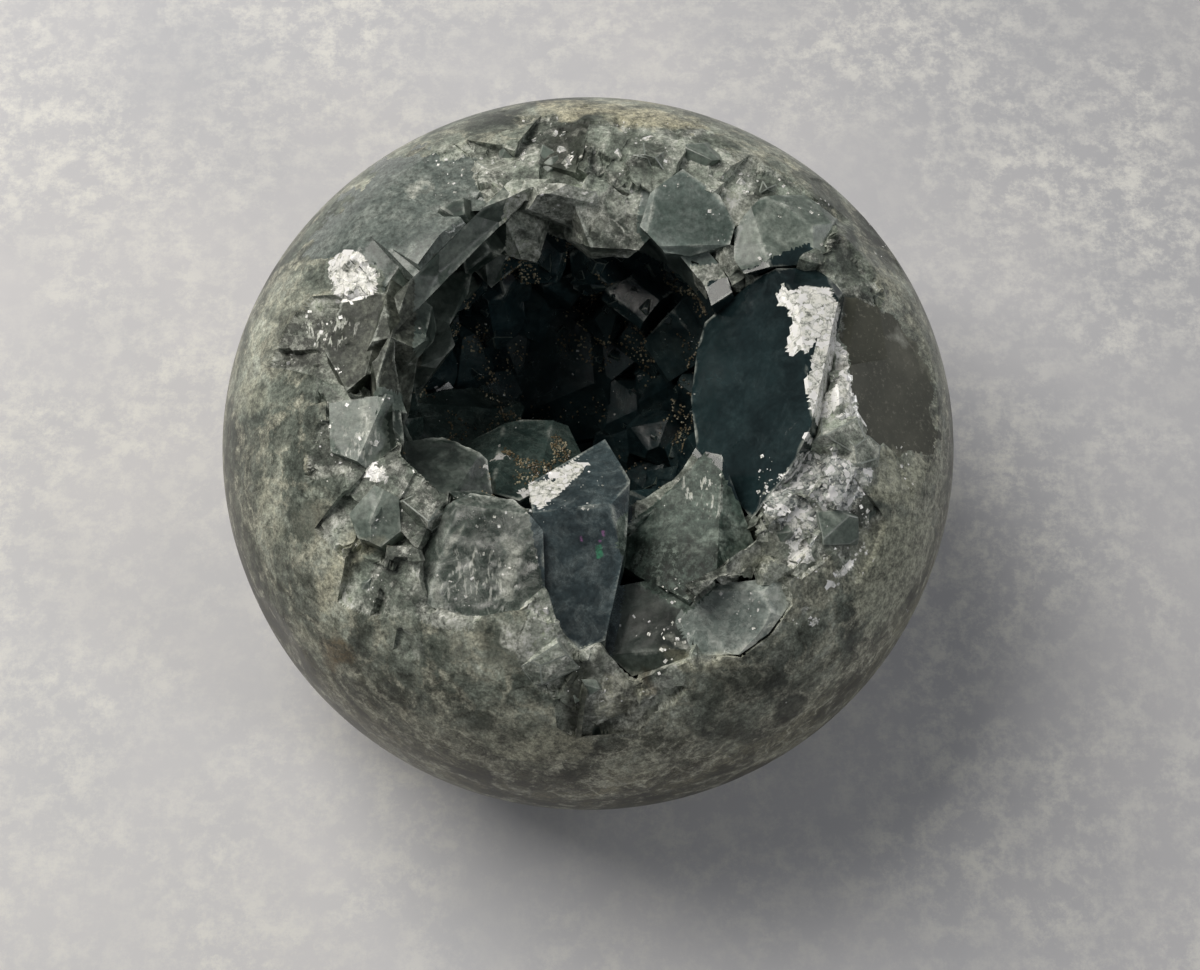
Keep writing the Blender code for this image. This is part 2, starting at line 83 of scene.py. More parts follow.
# Mesh fineness: longest edge where the surface is seen close, seen smooth, or hidden.
FINE_EDGE = 0.62 * MM
CRUST_EDGE = 0.74 * MM
LEDGE_EDGE = 0.9 * MM
DEEP_EDGE = 1.3 * MM
SKIN_EDGE = 2.6 * MM
HIDDEN_EDGE = 7.0 * MM
WELD = 0.001 * MM
SMOOTH_BEND = math.radians(17)

# Heights above the table that part one kind of surface from another.
DEEP_BELOW = 44 * MM
BROKEN_ABOVE = 45 * MM
PAINTED_ABOVE = 46 * MM
RIM_ABOVE = 50 * MM
LEDGES_BELOW = 52 * MM
FLAT_ABOVE = 55 * MM
SEAT_BELOW = 56 * MM
STILL_BELOW = 58 * MM
RIM_CRYSTALS_ABOVE = 59 * MM
HIDDEN_BELOW = 60 * MM

# Reach from the middle of the mouth that is meshed finely, depth below the ground form where
# the wall hides behind the crust, and the reach of the seat where crust and wall lie together.
FINE_REACH = 53 * MM
BEHIND_CRUST = 4 * MM
DEEP_IN_WALL = 9 * MM
SEATED = 0.97
STILL = 0.985

# How ragged painted outlines are, and how softly they fade inwards.
FRAY_MM = 4.0
FRAY_PIXELS = 11.0
SOFT_PIXELS = 16.0
FROST_WIDTH = 0.8 * MM
FACES_CAMERA = 0.12

# Steps of the breaks: an edge steeper than this is crisp, and the sizes of the grown-together
# crystals that make the steps of the wall. The ground skin is what lies within the tolerance
# of the ground form; above the edge of the base it is rounded onto it.
CRISP_BREAK = math.radians(32)
WALL_CELLS = (8.0 * MM, 3.4 * MM, 1.4 * MM)
SKIN_TOLERANCE = 0.28 * MM
BASE_EDGE = 0.3 * MM
BITE_REACH = 5 * MM
DEEPEST_DIP = 1.3 * MM

# The seam between wall and crust is closed: whole within the gap, then fading out.
SEAM_GAP = 0.5 * MM
SEAM_REACH = 1.5 * MM
HAIR = 0.05 * MM

# Small things on the stone.
DRUSE_SEED = 21
EDGE_WEAR = 0.12 * MM
FULL_TURN = 6.28

FLOOR_SIZE = 3.0
BOX_MARGIN = 0.02 * MM

# The camera: straight from the front, looking steeply down, as the photograph.
CAMERA_ELEVATION = math.radians(66.0)
CAMERA_DISTANCE = 284.0 * MM
CAMERA_FIELD = math.radians(36.0)
CAMERA_TARGET = Vector((1.8, -7.1, 36.0)) * MM
CAMERA_BACK = Vector((0.0, -math.cos(CAMERA_ELEVATION), math.sin(CAMERA_ELEVATION)))
CAMERA_UP = Vector((0.0, math.sin(CAMERA_ELEVATION), math.cos(CAMERA_ELEVATION)))
CAMERA_PLACE = CAMERA_TARGET + CAMERA_BACK * CAMERA_DISTANCE
PHOTO_MIDDLE = (600.0, 485.0)
PHOTO_FOCUS = PHOTO_MIDDLE[0] / math.tan(CAMERA_FIELD / 2)


def in_photo(point):
    """Where a point shows in the photograph, in its pixels."""
    offset = point - CAMERA_PLACE
    depth = -offset.dot(CAMERA_BACK)
    return (PHOTO_MIDDLE[0] + PHOTO_FOCUS * offset.x / depth,
            PHOTO_MIDDLE[1] - PHOTO_FOCUS * offset.dot(CAMERA_UP) / depth)


def inside_outline(spot, outline):
    """Whether a spot lies inside an outline given by its corners."""
    x, y = spot
    inside = False
    for (ax, ay), (bx, by) in zip(outline, outline[1:] + outline[:1]):
        if (ay > y) != (by > y) and x < ax + (y - ay) * (bx - ax) / (by - ay):
            inside = not inside
    return inside


def colour(hex_code):
    """An sRGB hex colour as linear RGBA."""
    channels = [int(hex_code[i:i + 2], 16) / 255 for i in (1, 3, 5)]
    linear = [c / 12.92 if c <= 0.04045 else ((c + 0.055) / 1.055) ** 2.4 for c in channels]
    return (*linear, 1.0)


def per_mm(size_mm):
    """Texture scale that makes a feature of this size on Object coordinates."""
    return 1.0 / (size_mm * MM)


# Sockets of a Mix node for colours: the factor, the two colours and the result.
FACTOR, UNDER, OVER, MIXED = 0, 6, 7, 2


def fill_sockets(tree, made, values):
    """Set a node's inputs: each a plain value or the output of another node."""
    for key, value in values.items():
        if isinstance(value, bpy.types.NodeSocket):
            tree.links.new(value, made.inputs[key])
        else:
            made.inputs[key].default_value = value


def node(tree, kind, sockets, output=0, stops=(), **settings):
    """Add a node with its settings, its values and its links, and return one of its outputs.
    The stops of a colour ramp are (position, hex or grey level)."""
    made = tree.nodes.new("ShaderNode" + kind)
    for name, value in settings.items():
        setattr(made, name, value)
    fill_sockets(tree, made, sockets)
    elements = made.color_ramp.elements if stops else ()
    while len(elements) < len(stops):
        elements.new(0.5)
    for element, (position, shade) in zip(elements, stops):
        element.position = position
        element.color = colour(shade) if isinstance(shade, str) else (shade, shade, shade, 1.0)
    return made.outputs[output]


def new_material(name):
    """A material with its node tree and its shader."""
    material = bpy.data.materials.new(name)
    material.use_nodes = True
    tree = material.node_tree
    return material, tree, tree.nodes["Principled BSDF"]


def stone_coordinates(tree, warp_mm, wave_mm, rough=0.6):
    """Object coordinates, pushed about by noise so that patches get ragged borders."""
    place = node(tree, "TexCoord", {}, "Object")
    wave = node(tree, "TexNoise", {
        "Vector": place, "Scale": per_mm(wave_mm), "Detail": 7.0, "Roughness": rough,
    }, "Color")
    centred = node(tree, "VectorMath", {0: wave, 1: (0.5, 0.5, 0.5)}, operation="SUBTRACT")
    push = node(tree, "VectorMath", {0: centred, "Scale": warp_mm * MM}, operation="SCALE")
    moved = node(tree, "VectorMath", {0: place, 1: push}, operation="ADD")
    return place, moved


def painted(tree, tone, ragged, fine, shades):
    """Lay the painted patches over a tone: the ragged noise frays their borders and the
    fine noise lets the stone show through."""
    shown = node(tree, "ValToRGB", {"Fac": fine}, stops=[(0.36, 0.35), (0.56, 1.0)])
    for name, shade in shades.items():
        strong = node(tree, "Math", {
            0: node(tree, "Attribute", {}, "Fac", attribute_name=name), 1: 1.7,
        }, operation="MULTIPLY")
        frayed = node(tree, "Math", {
            0: node(tree, "Math", {0: strong, 1: ragged}, operation="ADD"), 1: 1.1,
        }, operation="SUBTRACT", use_clamp=True)
        tone = node(tree, "Mix", {
            FACTOR: node(tree, "Math", {0: frayed, 1: shown}, operation="MULTIPLY"), UNDER: tone,
            OVER: colour(shade),
        }, MIXED, data_type="RGBA")
    return tone


def stippled(tree, tone, place, dark):
    """Dark dots, and bright upright streaks that are partly white streaks of the stone and partly painted
    highlights, where the vertices ask for them.
    """
    dots = node(tree, "ValToRGB", {
        "Fac": node(tree, "TexNoise", {
            "Vector": place, "Scale": per_mm(1.3), "Detail": 6.0, "Roughness": 0.78,
        }),
    }, stops=[(0.46, 0.0), (0.52, 1.0)])
    tone = node(tree, "Mix", {
        FACTOR: node(tree, "Math", {
            0: dots, 1: node(tree, "Attribute", {}, "Fac", attribute_name="stipple"),
        }, operation="MULTIPLY"),
        UNDER: tone, OVER: colour(dark),
    }, MIXED, data_type="RGBA")
    # The streaks: white lines stretched upright, partly painted highlights.
    drawn = node(tree, "VectorMath", {0: place, 1: (1.0, 0.3, 0.3)}, operation="MULTIPLY")
    lines = node(tree, "ValToRGB", {
        "Fac": node(tree, "TexNoise", {
            "Vector": drawn, "Scale": per_mm(0.55), "Detail": 3.0, "Roughness": 0.6,
        }),
    }, stops=[(0.57, 0.0), (0.61, 1.0)])
    return node(tree, "Mix", {
        FACTOR: node(tree, "Math", {
            0: lines, 1: node(tree, "Attribute", {}, "Fac", attribute_name="streak_and_painted_highlight"),
        }, operation="MULTIPLY"),
        UNDER: tone, OVER: colour("#dfe3da"),
    }, MIXED, data_type="RGBA")


# The colour that each painted patch brings to the stone. The green and pink ones are painted iridescent
# glints, and dark also serves as painted shade in cracks and gaps.
PATCH_COLOURS = {
    "dark": "#30342c", "pale": "#9b9d8c", "veil": "#c6c9bf", "cream": "#bfbba2", "iron": "#5c4a2f",
    "frost": "#c2c8c0", "green_painted_glint": "#3ee29c", "pink_painted_glint": "#e892e6",
}


def rind(name, warm, cool, milk, broken):
    """Massive celestine: grown-together crystals in section, brown-grey outside and
    green-grey towards the mouth, with milky ragged clouds. Broken is 0 on the polished skin
    and 1 on hackly breaks."""
    material, tree, shader = new_material(name)
    place, moved = stone_coordinates(tree, 6.0, 8.0, 0.68)
    broad = node(tree, "TexNoise", {
        "Vector": place, "Scale": per_mm(15.0), "Detail": 10.0, "Roughness": 0.62,
        "Distortion": 1.2,
    })
    wisp = node(tree, "TexNoise", {
        "Vector": moved, "Scale": per_mm(4.0), "Detail": 10.0, "Roughness": 0.74, "Distortion": 0.6,
    })
    fleck = node(tree, "TexNoise", {
        "Vector": place, "Scale": per_mm(1.2), "Detail": 10.0, "Roughness": 0.82,
    })
    grit = node(tree, "TexNoise", {
        "Vector": place, "Scale": per_mm(0.4), "Detail": 4.0, "Roughness": 0.8,
    })
    body = node(tree, "Math", {
        0: node(tree, "Math", {0: broad, 1: 0.6}, operation="MULTIPLY"),
        1: node(tree, "Math", {0: wisp, 1: 0.4}, operation="MULTIPLY"),
    }, operation="ADD")
    stops = (0.41, 0.47, 0.53, 0.59)
    outer = node(tree, "ValToRGB", {"Fac": body}, stops=list(zip(stops, warm)))
    inner = node(tree, "ValToRGB", {"Fac": body}, stops=list(zip(stops, cool)))
    height = node(tree, "SeparateXYZ", {"Vector": place}, "Z")
    ragged = node(tree, "Math", {
        0: node(tree, "Math", {0: height, 1: 1 / (20.0 * MM)}, operation="MULTIPLY"),
        1: node(tree, "Math", {0: wisp, 1: 2.0}, operation="MULTIPLY"),
    }, operation="ADD")
    tone = node(tree, "Mix", {
        FACTOR: node(tree, "ValToRGB", {
            "Fac": node(tree, "Math", {0: ragged, 1: 3.1}, operation="SUBTRACT"),
        }, stops=[(0.0, 0.0), (0.9, 1.0)]),
        UNDER: outer, OVER: inner,
    }, MIXED, data_type="RGBA")
    for size_mm, strong in ((9.0, 0.55), (3.6, 0.25 + 0.3 * broken)):
        crystals = node(tree, "TexVoronoi", {"Vector": moved, "Scale": per_mm(size_mm)}, "Color")
        facet = node(tree, "RGBToBW", {"Color": crystals})
        tone = node(tree, "Mix", {
            FACTOR: strong, UNDER: tone,
            OVER: node(tree, "ValToRGB", {"Fac": facet}, stops=[(0.2, 0.25), (0.8, 0.8)]),
        }, MIXED, data_type="RGBA", blend_type="OVERLAY")
    seam = node(tree, "TexVoronoi", {
        "Vector": moved, "Scale": per_mm(9.0),
    }, "Distance", feature="DISTANCE_TO_EDGE")
    wide = node(tree, "Math", {
        0: seam,
        1: node(tree, "Math", {
            0: node(tree, "Math", {0: wisp, 1: 0.44}, operation="SUBTRACT"), 1: 1.1,
        }, operation="MULTIPLY"),
    }, operation="ADD")
    milky = node(tree, "Math", {
        0: node(tree, "ValToRGB", {"Fac": wide}, stops=[(0.0, 0.8), (0.13, 0.0)]),
        1: node(tree, "ValToRGB", {"Fac": fleck}, stops=[(0.38, 0.25), (0.58, 1.0)]),
    }, operation="MULTIPLY")
    tone = node(tree, "Mix", {FACTOR: milky, UNDER: tone, OVER: colour(milk)}, MIXED, data_type="RGBA")
    border = node(tree, "Math", {
        0: node(tree, "ValToRGB", {
            "Fac": node(tree, "TexVoronoi", {
                "Vector": moved, "Scale": per_mm(4.2),
            }, "Distance", feature="DISTANCE_TO_EDGE"),
        }, stops=[(0.0, 0.75), (0.06, 0.0)]),
        1: node(tree, "ValToRGB", {"Fac": broad}, stops=[(0.48, 0.0), (0.56, 1.0)]),
    }, operation="MULTIPLY")
    tone = node(tree, "Mix", {FACTOR: border, UNDER: tone, OVER: colour(milk)}, MIXED, data_type="RGBA")
    ridge = node(tree, "Math", {
        0: node(tree, "Math", {0: wisp, 1: 0.5}, operation="SUBTRACT"),
    }, operation="ABSOLUTE")
    vein = node(tree, "Math", {
        0: node(tree, "ValToRGB", {"Fac": ridge}, stops=[(0.0, 0.75), (0.022, 0.0)]),
        1: node(tree, "ValToRGB", {"Fac": broad}, stops=[(0.45, 0.0), (0.58, 1.0)]),
    }, operation="MULTIPLY")
    tone = node(tree, "Mix", {FACTOR: vein, UNDER: tone, OVER: colour(milk)}, MIXED, data_type="RGBA")
    tone = painted(tree, tone, wisp, fleck, PATCH_COLOURS)
    tone = stippled(tree, tone, place, "#2f332e")
    tone = node(tree, "Mix", {
        FACTOR: 0.80, UNDER: tone,
        OVER: node(tree, "ValToRGB", {"Fac": fleck}, stops=[(0.38, 0.12), (0.62, 0.86)]),
    }, MIXED, data_type="RGBA", blend_type="OVERLAY")
    tone = node(tree, "Mix", {
        FACTOR: 0.50, UNDER: tone,
        OVER: node(tree, "ValToRGB", {"Fac": grit}, stops=[(0.36, 0.15), (0.64, 0.88)]),
    }, MIXED, data_type="RGBA", blend_type="OVERLAY")
    # Near-white specks: pale grains of the stone, and on the breaks more of them as painted glints.
    tone = node(tree, "Mix", {
        FACTOR: node(tree, "ValToRGB", {"Fac": fleck}, stops=[(0.61, 0.0), (0.68, 0.35 + 0.5 * broken)]),
        UNDER: tone, OVER: colour("#dfe1d6"),
    }, MIXED, data_type="RGBA")
    rough = node(tree, "Math", {
        0: 0.22 + 0.06 * broken, 1: node(tree, "Math", {0: fleck, 1: 0.3}, operation="MULTIPLY"),
    }, operation="ADD")
    fill_sockets(tree, shader, {
        "Base Color": tone, "Roughness": rough, "IOR": 1.62,
        "Specular IOR Level": 0.16 + 0.12 * broken,
    })
    hackle = node(tree, "TexVoronoi", {"Vector": moved, "Scale": per_mm(1.6)}, "Distance")
    relief = node(tree, "Math", {
        0: node(tree, "Math", {0: hackle, 1: 0.6 * broken}, operation="MULTIPLY"), 1: fleck,
    }, operation="ADD")
    bump = node(tree, "Bump", {
        "Height": relief, "Strength": 0.12 + 0.4 * broken, "Distance": (0.12 + 0.2 * broken) * MM,
    })
    fill_sockets(tree, shader, {"Normal": bump})
    return material


def crystal(name, deep, mid, veil, clearness, absorb, density, roughness, veiled=0.5, crackle=0.35,
            relief=0.2, shine=0.5, mottled=0.5):
    """Natural celestine crystal. Deep and mid are its body colours, veil the colour of its
    cloudy healed cracks; clearness is how much light goes through it."""
    material, tree, shader = new_material(name)
    place, moved = stone_coordinates(tree, 4.0, 7.0, 0.55)
    depth = node(tree, "TexNoise", {
        "Vector": moved, "Scale": per_mm(9.0), "Detail": 5.0, "Roughness": 0.6,
    })
    tone = node(tree, "ValToRGB", {"Fac": depth}, stops=[(0.32, deep), (0.66, mid)])
    wisp = node(tree, "TexNoise", {
        "Vector": moved, "Scale": per_mm(3.4), "Detail": 10.0, "Roughness": 0.74, "Distortion": 0.5,
    })
    clouds = node(tree, "Math", {
        0: node(tree, "ValToRGB", {"Fac": wisp}, stops=[(0.46, 0.0), (0.68, 1.0)]), 1: veiled,
    }, operation="MULTIPLY")
    cracks = node(tree, "TexVoronoi", {
        "Vector": moved, "Scale": per_mm(5.0),
    }, "Distance", feature="DISTANCE_TO_EDGE")
    crack_line = node(tree, "Math", {
        0: node(tree, "ValToRGB", {"Fac": cracks}, stops=[(0.0, crackle), (0.035, 0.0)]),
        1: node(tree, "ValToRGB", {"Fac": depth}, stops=[(0.4, 0.0), (0.6, 1.0)]),
    }, operation="MULTIPLY")
    milky = node(tree, "Math", {0: clouds, 1: crack_line}, operation="MAXIMUM")
    tone = node(tree, "Mix", {FACTOR: milky, UNDER: tone, OVER: colour(veil)}, MIXED, data_type="RGBA")
    dust = node(tree, "TexNoise", {
        "Vector": place, "Scale": per_mm(0.9), "Detail": 9.0, "Roughness": 0.82,
    })
    tone = painted(tree, tone, wisp, dust, PATCH_COLOURS)
    tone = stippled(tree, tone, place, deep)
    tone = node(tree, "Mix", {
        FACTOR: mottled, UNDER: tone,
        OVER: node(tree, "ValToRGB", {"Fac": dust}, stops=[(0.39, 0.14), (0.62, 0.88)]),
    }, MIXED, data_type="RGBA", blend_type="OVERLAY")
    specks = node(tree, "Math", {
        0: node(tree, "ValToRGB", {"Fac": dust}, stops=[(0.60, 0.0), (0.66, 0.8)]), 1: mottled,
    }, operation="MULTIPLY")
    tone = node(tree, "Mix", {FACTOR: specks, UNDER: tone, OVER: colour(veil)}, MIXED, data_type="RGBA")
    shown = node(tree, "Math", {
        0: milky,
        1: node(tree, "Math", {
            0: node(tree, "Attribute", {}, "Fac", attribute_name="veil"),
            1: node(tree, "Attribute", {}, "Fac", attribute_name="frost"),
        }, operation="ADD"),
    }, operation="ADD")
    through = node(tree, "Math", {
        0: node(tree, "Math", {
            0: 1.0, 1: node(tree, "Math", {0: shown, 1: 0.8}, operation="MULTIPLY"),
        }, operation="SUBTRACT", use_clamp=True),
        1: clearness,
    }, operation="MULTIPLY")
    rough = node(tree, "Math", {
        0: roughness, 1: node(tree, "Math", {0: clouds, 1: 0.3}, operation="MULTIPLY"),
    }, operation="ADD")
    fill_sockets(tree, shader, {
        "Base Color": tone, "Roughness": rough, "IOR": 1.62, "Transmission Weight": through,
        "Specular IOR Level": shine,
    })
    steps = node(tree, "TexWave", {
        "Vector": moved, "Scale": per_mm(9.0), "Distortion": 5.0, "Detail": 3.0,
        "Detail Scale": 2.0,
    }, "Fac")
    height = node(tree, "Math", {
        0: node(tree, "Math", {0: steps, 1: 0.4}, operation="MULTIPLY"), 1: dust,
    }, operation="ADD")
    bump = node(tree, "Bump", {"Height": height, "Strength": relief, "Distance": 0.1 * MM})
    fill_sockets(tree, shader, {"Normal": bump})
    absorption = node(tree, "VolumeAbsorption", {"Color": colour(absorb), "Density": density})
    fill_sockets(tree, tree.nodes["Material Output"], {"Volume": absorption})
    return material


def cleavage_face(name, bright, middle, shade, pits_mm, crinkle, roughness):
    """A fresh cleavage: pearly, almost a mirror, crackled and flaked in fine steps. Its brightest colour is
    partly painted reflection, and its white sparks are painted glints.
    """
    material, tree, shader = new_material(name)
    place, moved = stone_coordinates(tree, 1.5, 2.5)
    pits = node(tree, "TexNoise", {
        "Vector": place, "Scale": per_mm(pits_mm), "Detail": 8.0, "Roughness": 0.78,
    })
    tone = node(tree, "ValToRGB", {"Fac": pits}, stops=[(0.36, shade), (0.44, middle), (0.54, bright)])
    plate = node(tree, "TexVoronoi", {"Vector": moved, "Scale": per_mm(1.2)}, "Color")
    level = node(tree, "RGBToBW", {"Color": plate})
    tone = node(tree, "Mix", {
        FACTOR: 0.55, UNDER: tone,
        OVER: node(tree, "ValToRGB", {"Fac": level}, stops=[(0.2, 0.15), (0.5, 0.6), (0.75, 0.95)]),
    }, MIXED, data_type="RGBA", blend_type="OVERLAY")
    lines = node(tree, "TexVoronoi", {
        "Vector": moved, "Scale": per_mm(2.2),
    }, "Distance", feature="DISTANCE_TO_EDGE")
    tone = node(tree, "Mix", {
        FACTOR: node(tree, "ValToRGB", {"Fac": lines}, stops=[(0.0, 0.6), (0.05, 0.0)]),
        UNDER: tone, OVER: colour(shade),
    }, MIXED, data_type="RGBA")
    # White sparks: painted glints.
    painted_glint_cells = node(tree, "TexVoronoi", {"Vector": place, "Scale": per_mm(0.7)}, "Color")
    painted_glint = node(tree, "RGBToBW", {"Color": painted_glint_cells})
    tone = node(tree, "Mix", {
        FACTOR: node(tree, "ValToRGB", {"Fac": painted_glint}, stops=[(0.66, 0.0), (0.70, 1.0)]),
        UNDER: tone, OVER: colour("#ffffff"),
    }, MIXED, data_type="RGBA")
    height = node(tree, "Math", {
        0: node(tree, "Math", {0: plate, 1: 0.6}, operation="MULTIPLY"), 1: pits,
    }, operation="ADD")
    relief = node(tree, "Bump", {"Height": height, "Strength": crinkle, "Distance": 0.3 * MM})
    fill_sockets(tree, shader, {
        "Base Color": tone, "Roughness": roughness, "IOR": 1.62, "Specular IOR Level": 0.95,
        "Normal": relief, "Coat Weight": 0.6, "Coat Roughness": 0.1,
    })
    return material


def wheel_flat():
    """The grinding wheel's flat across clear massive celestine: dark, satin, with specks."""
    material, tree, shader = new_material("celestine_wheel_flat_satin")
    place, moved = stone_coordinates(tree, 2.0, 6.0)
    grit = node(tree, "TexNoise", {
        "Vector": place, "Scale": per_mm(0.8), "Detail": 5.0, "Roughness": 0.8,
    })
    murk = node(tree, "TexNoise", {
        "Vector": moved, "Scale": per_mm(11.0), "Detail": 6.0, "Roughness": 0.65,
    })
    tone = node(tree, "ValToRGB", {
        "Fac": murk,
    }, stops=[(0.3, "#40423b"), (0.55, "#52534a"), (0.75, "#6b6b60")])
    tone = node(tree, "Mix", {
        FACTOR: node(tree, "ValToRGB", {"Fac": grit}, stops=[(0.55, 0.0), (0.66, 0.6)]),
        UNDER: tone, OVER: colour("#87867a"),
    }, MIXED, data_type="RGBA")
    tone = painted(tree, tone, murk, grit, PATCH_COLOURS)
    fill_sockets(tree, shader, {
        "Base Color": tone, "Roughness": 0.45, "IOR": 1.62, "Specular IOR Level": 0.12,
    })
    return material


def druse_grain(name, dark, mid, light):
    """Tiny crystals dusted over the crust, stained by iron: brown to gold sparkles."""
    material, tree, shader = new_material(name)
    place = node(tree, "TexCoord", {}, "Object")
    patch = node(tree, "TexNoise", {
        "Vector": place, "Scale": per_mm(2.2), "Detail": 4.0, "Roughness": 0.6,
    })
    tone = node(tree, "ValToRGB", {"Fac": patch}, stops=[(0.35, dark), (0.52, mid), (0.68, light)])
    fill_sockets(tree, shader, {"Base Color": tone, "Roughness": 0.3, "IOR": 1.62})
    return material


def form_reach(point):
    """1 on the ground form, less inside it."""
    tall = CROWN if point.z > WAIST else KEEL
    flat = math.hypot(point.x, point.y) / HALF_WIDTH
    return (flat ** ROUNDNESS + (abs(point.z - WAIST) / tall) ** ROUNDNESS) ** (1 / ROUNDNESS)


def skin_depth(point):
    """How far a point lies below the ground form, roughly."""
    return (1 - form_reach(point)) * (point - FORM_MIDDLE).length


def onto_form(point):
    """The point moved out to the ground form."""
    return FORM_MIDDLE + (point - FORM_MIDDLE) / form_reach(point)


def seat_reach(point):
    """1 on the seat between crust and wall, less inside it."""
    offset = point - HOLLOW_CENTRE
    return math.sqrt(sum((offset[i] / SEAT_RADII[i]) ** 2 for i in range(3)))


PAINT_LAYERS = (*PATCH_COLOURS, "stipple", "streak_and_painted_highlight")


def merged_copy(name):
    """A welded bmesh of a CAD node, its crisp edges marked."""
    bm = bmesh.new()
    bm.from_mesh(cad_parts[name].data)
    bmesh.ops.remove_doubles(bm, verts=bm.verts, dist=WELD)
    for layer in (*PAINT_LAYERS, "polish"):
        bm.verts.layers.float.new(layer)
    for edge in bm.edges:
        edge.smooth = not edge.is_manifold or edge.calc_face_angle(0.0) < SMOOTH_BEND
    return bm


def refine(bm, longest):
    """Halve long edges until none is longer than longest(middle of the edge)."""
    for _ in range(9):
        coarse = [edge for edge in bm.edges
                  if edge.calc_length() > longest((edge.verts[0].co + edge.verts[1].co) / 2)]
        if not coarse:
            break
        bmesh.ops.subdivide_edges(bm, edges=coarse, cuts=1)
        bmesh.ops.triangulate(bm, faces=[face for face in bm.faces if len(face.verts) > 3])
    bm.normal_update()


def crystal_cell(point, size):
    """The grown-together crystal that holds a point: its rise there and its tone, -1 to 1."""
    place = point / size
    seat = noise.voronoi(place)[1][0]
    tilt = noise.noise_vector(seat * 5.3)
    return (tilt.dot(place - seat) + 0.25 * tilt.z) * size, 1.6 * noise.noise(seat * 3.7)


def mouth_distance(point):
    """Distance from the middle of the mouth, seen from above."""
    return (Vector((point.x, point.y, 0.0)) - MOUTH_MIDDLE).length


def wall_fineness(point):
    """Longest edge of the wall's mesh near a point."""
    if skin_depth(point) > BEHIND_CRUST and point.z < HIDDEN_BELOW:
        return HIDDEN_EDGE
    if point.z > RIM_ABOVE and mouth_distance(point) < FINE_REACH:
        return FINE_EDGE
    return SKIN_EDGE


def crust_fineness(point):
    """Longest edge of the crust's mesh near a point."""
    if seat_reach(point) > SEATED and point.z < SEAT_BELOW:
        return HIDDEN_EDGE
    if point.z < DEEP_BELOW:
        return DEEP_EDGE
    return LEDGE_EDGE if point.z < LEDGES_BELOW else CRUST_EDGE


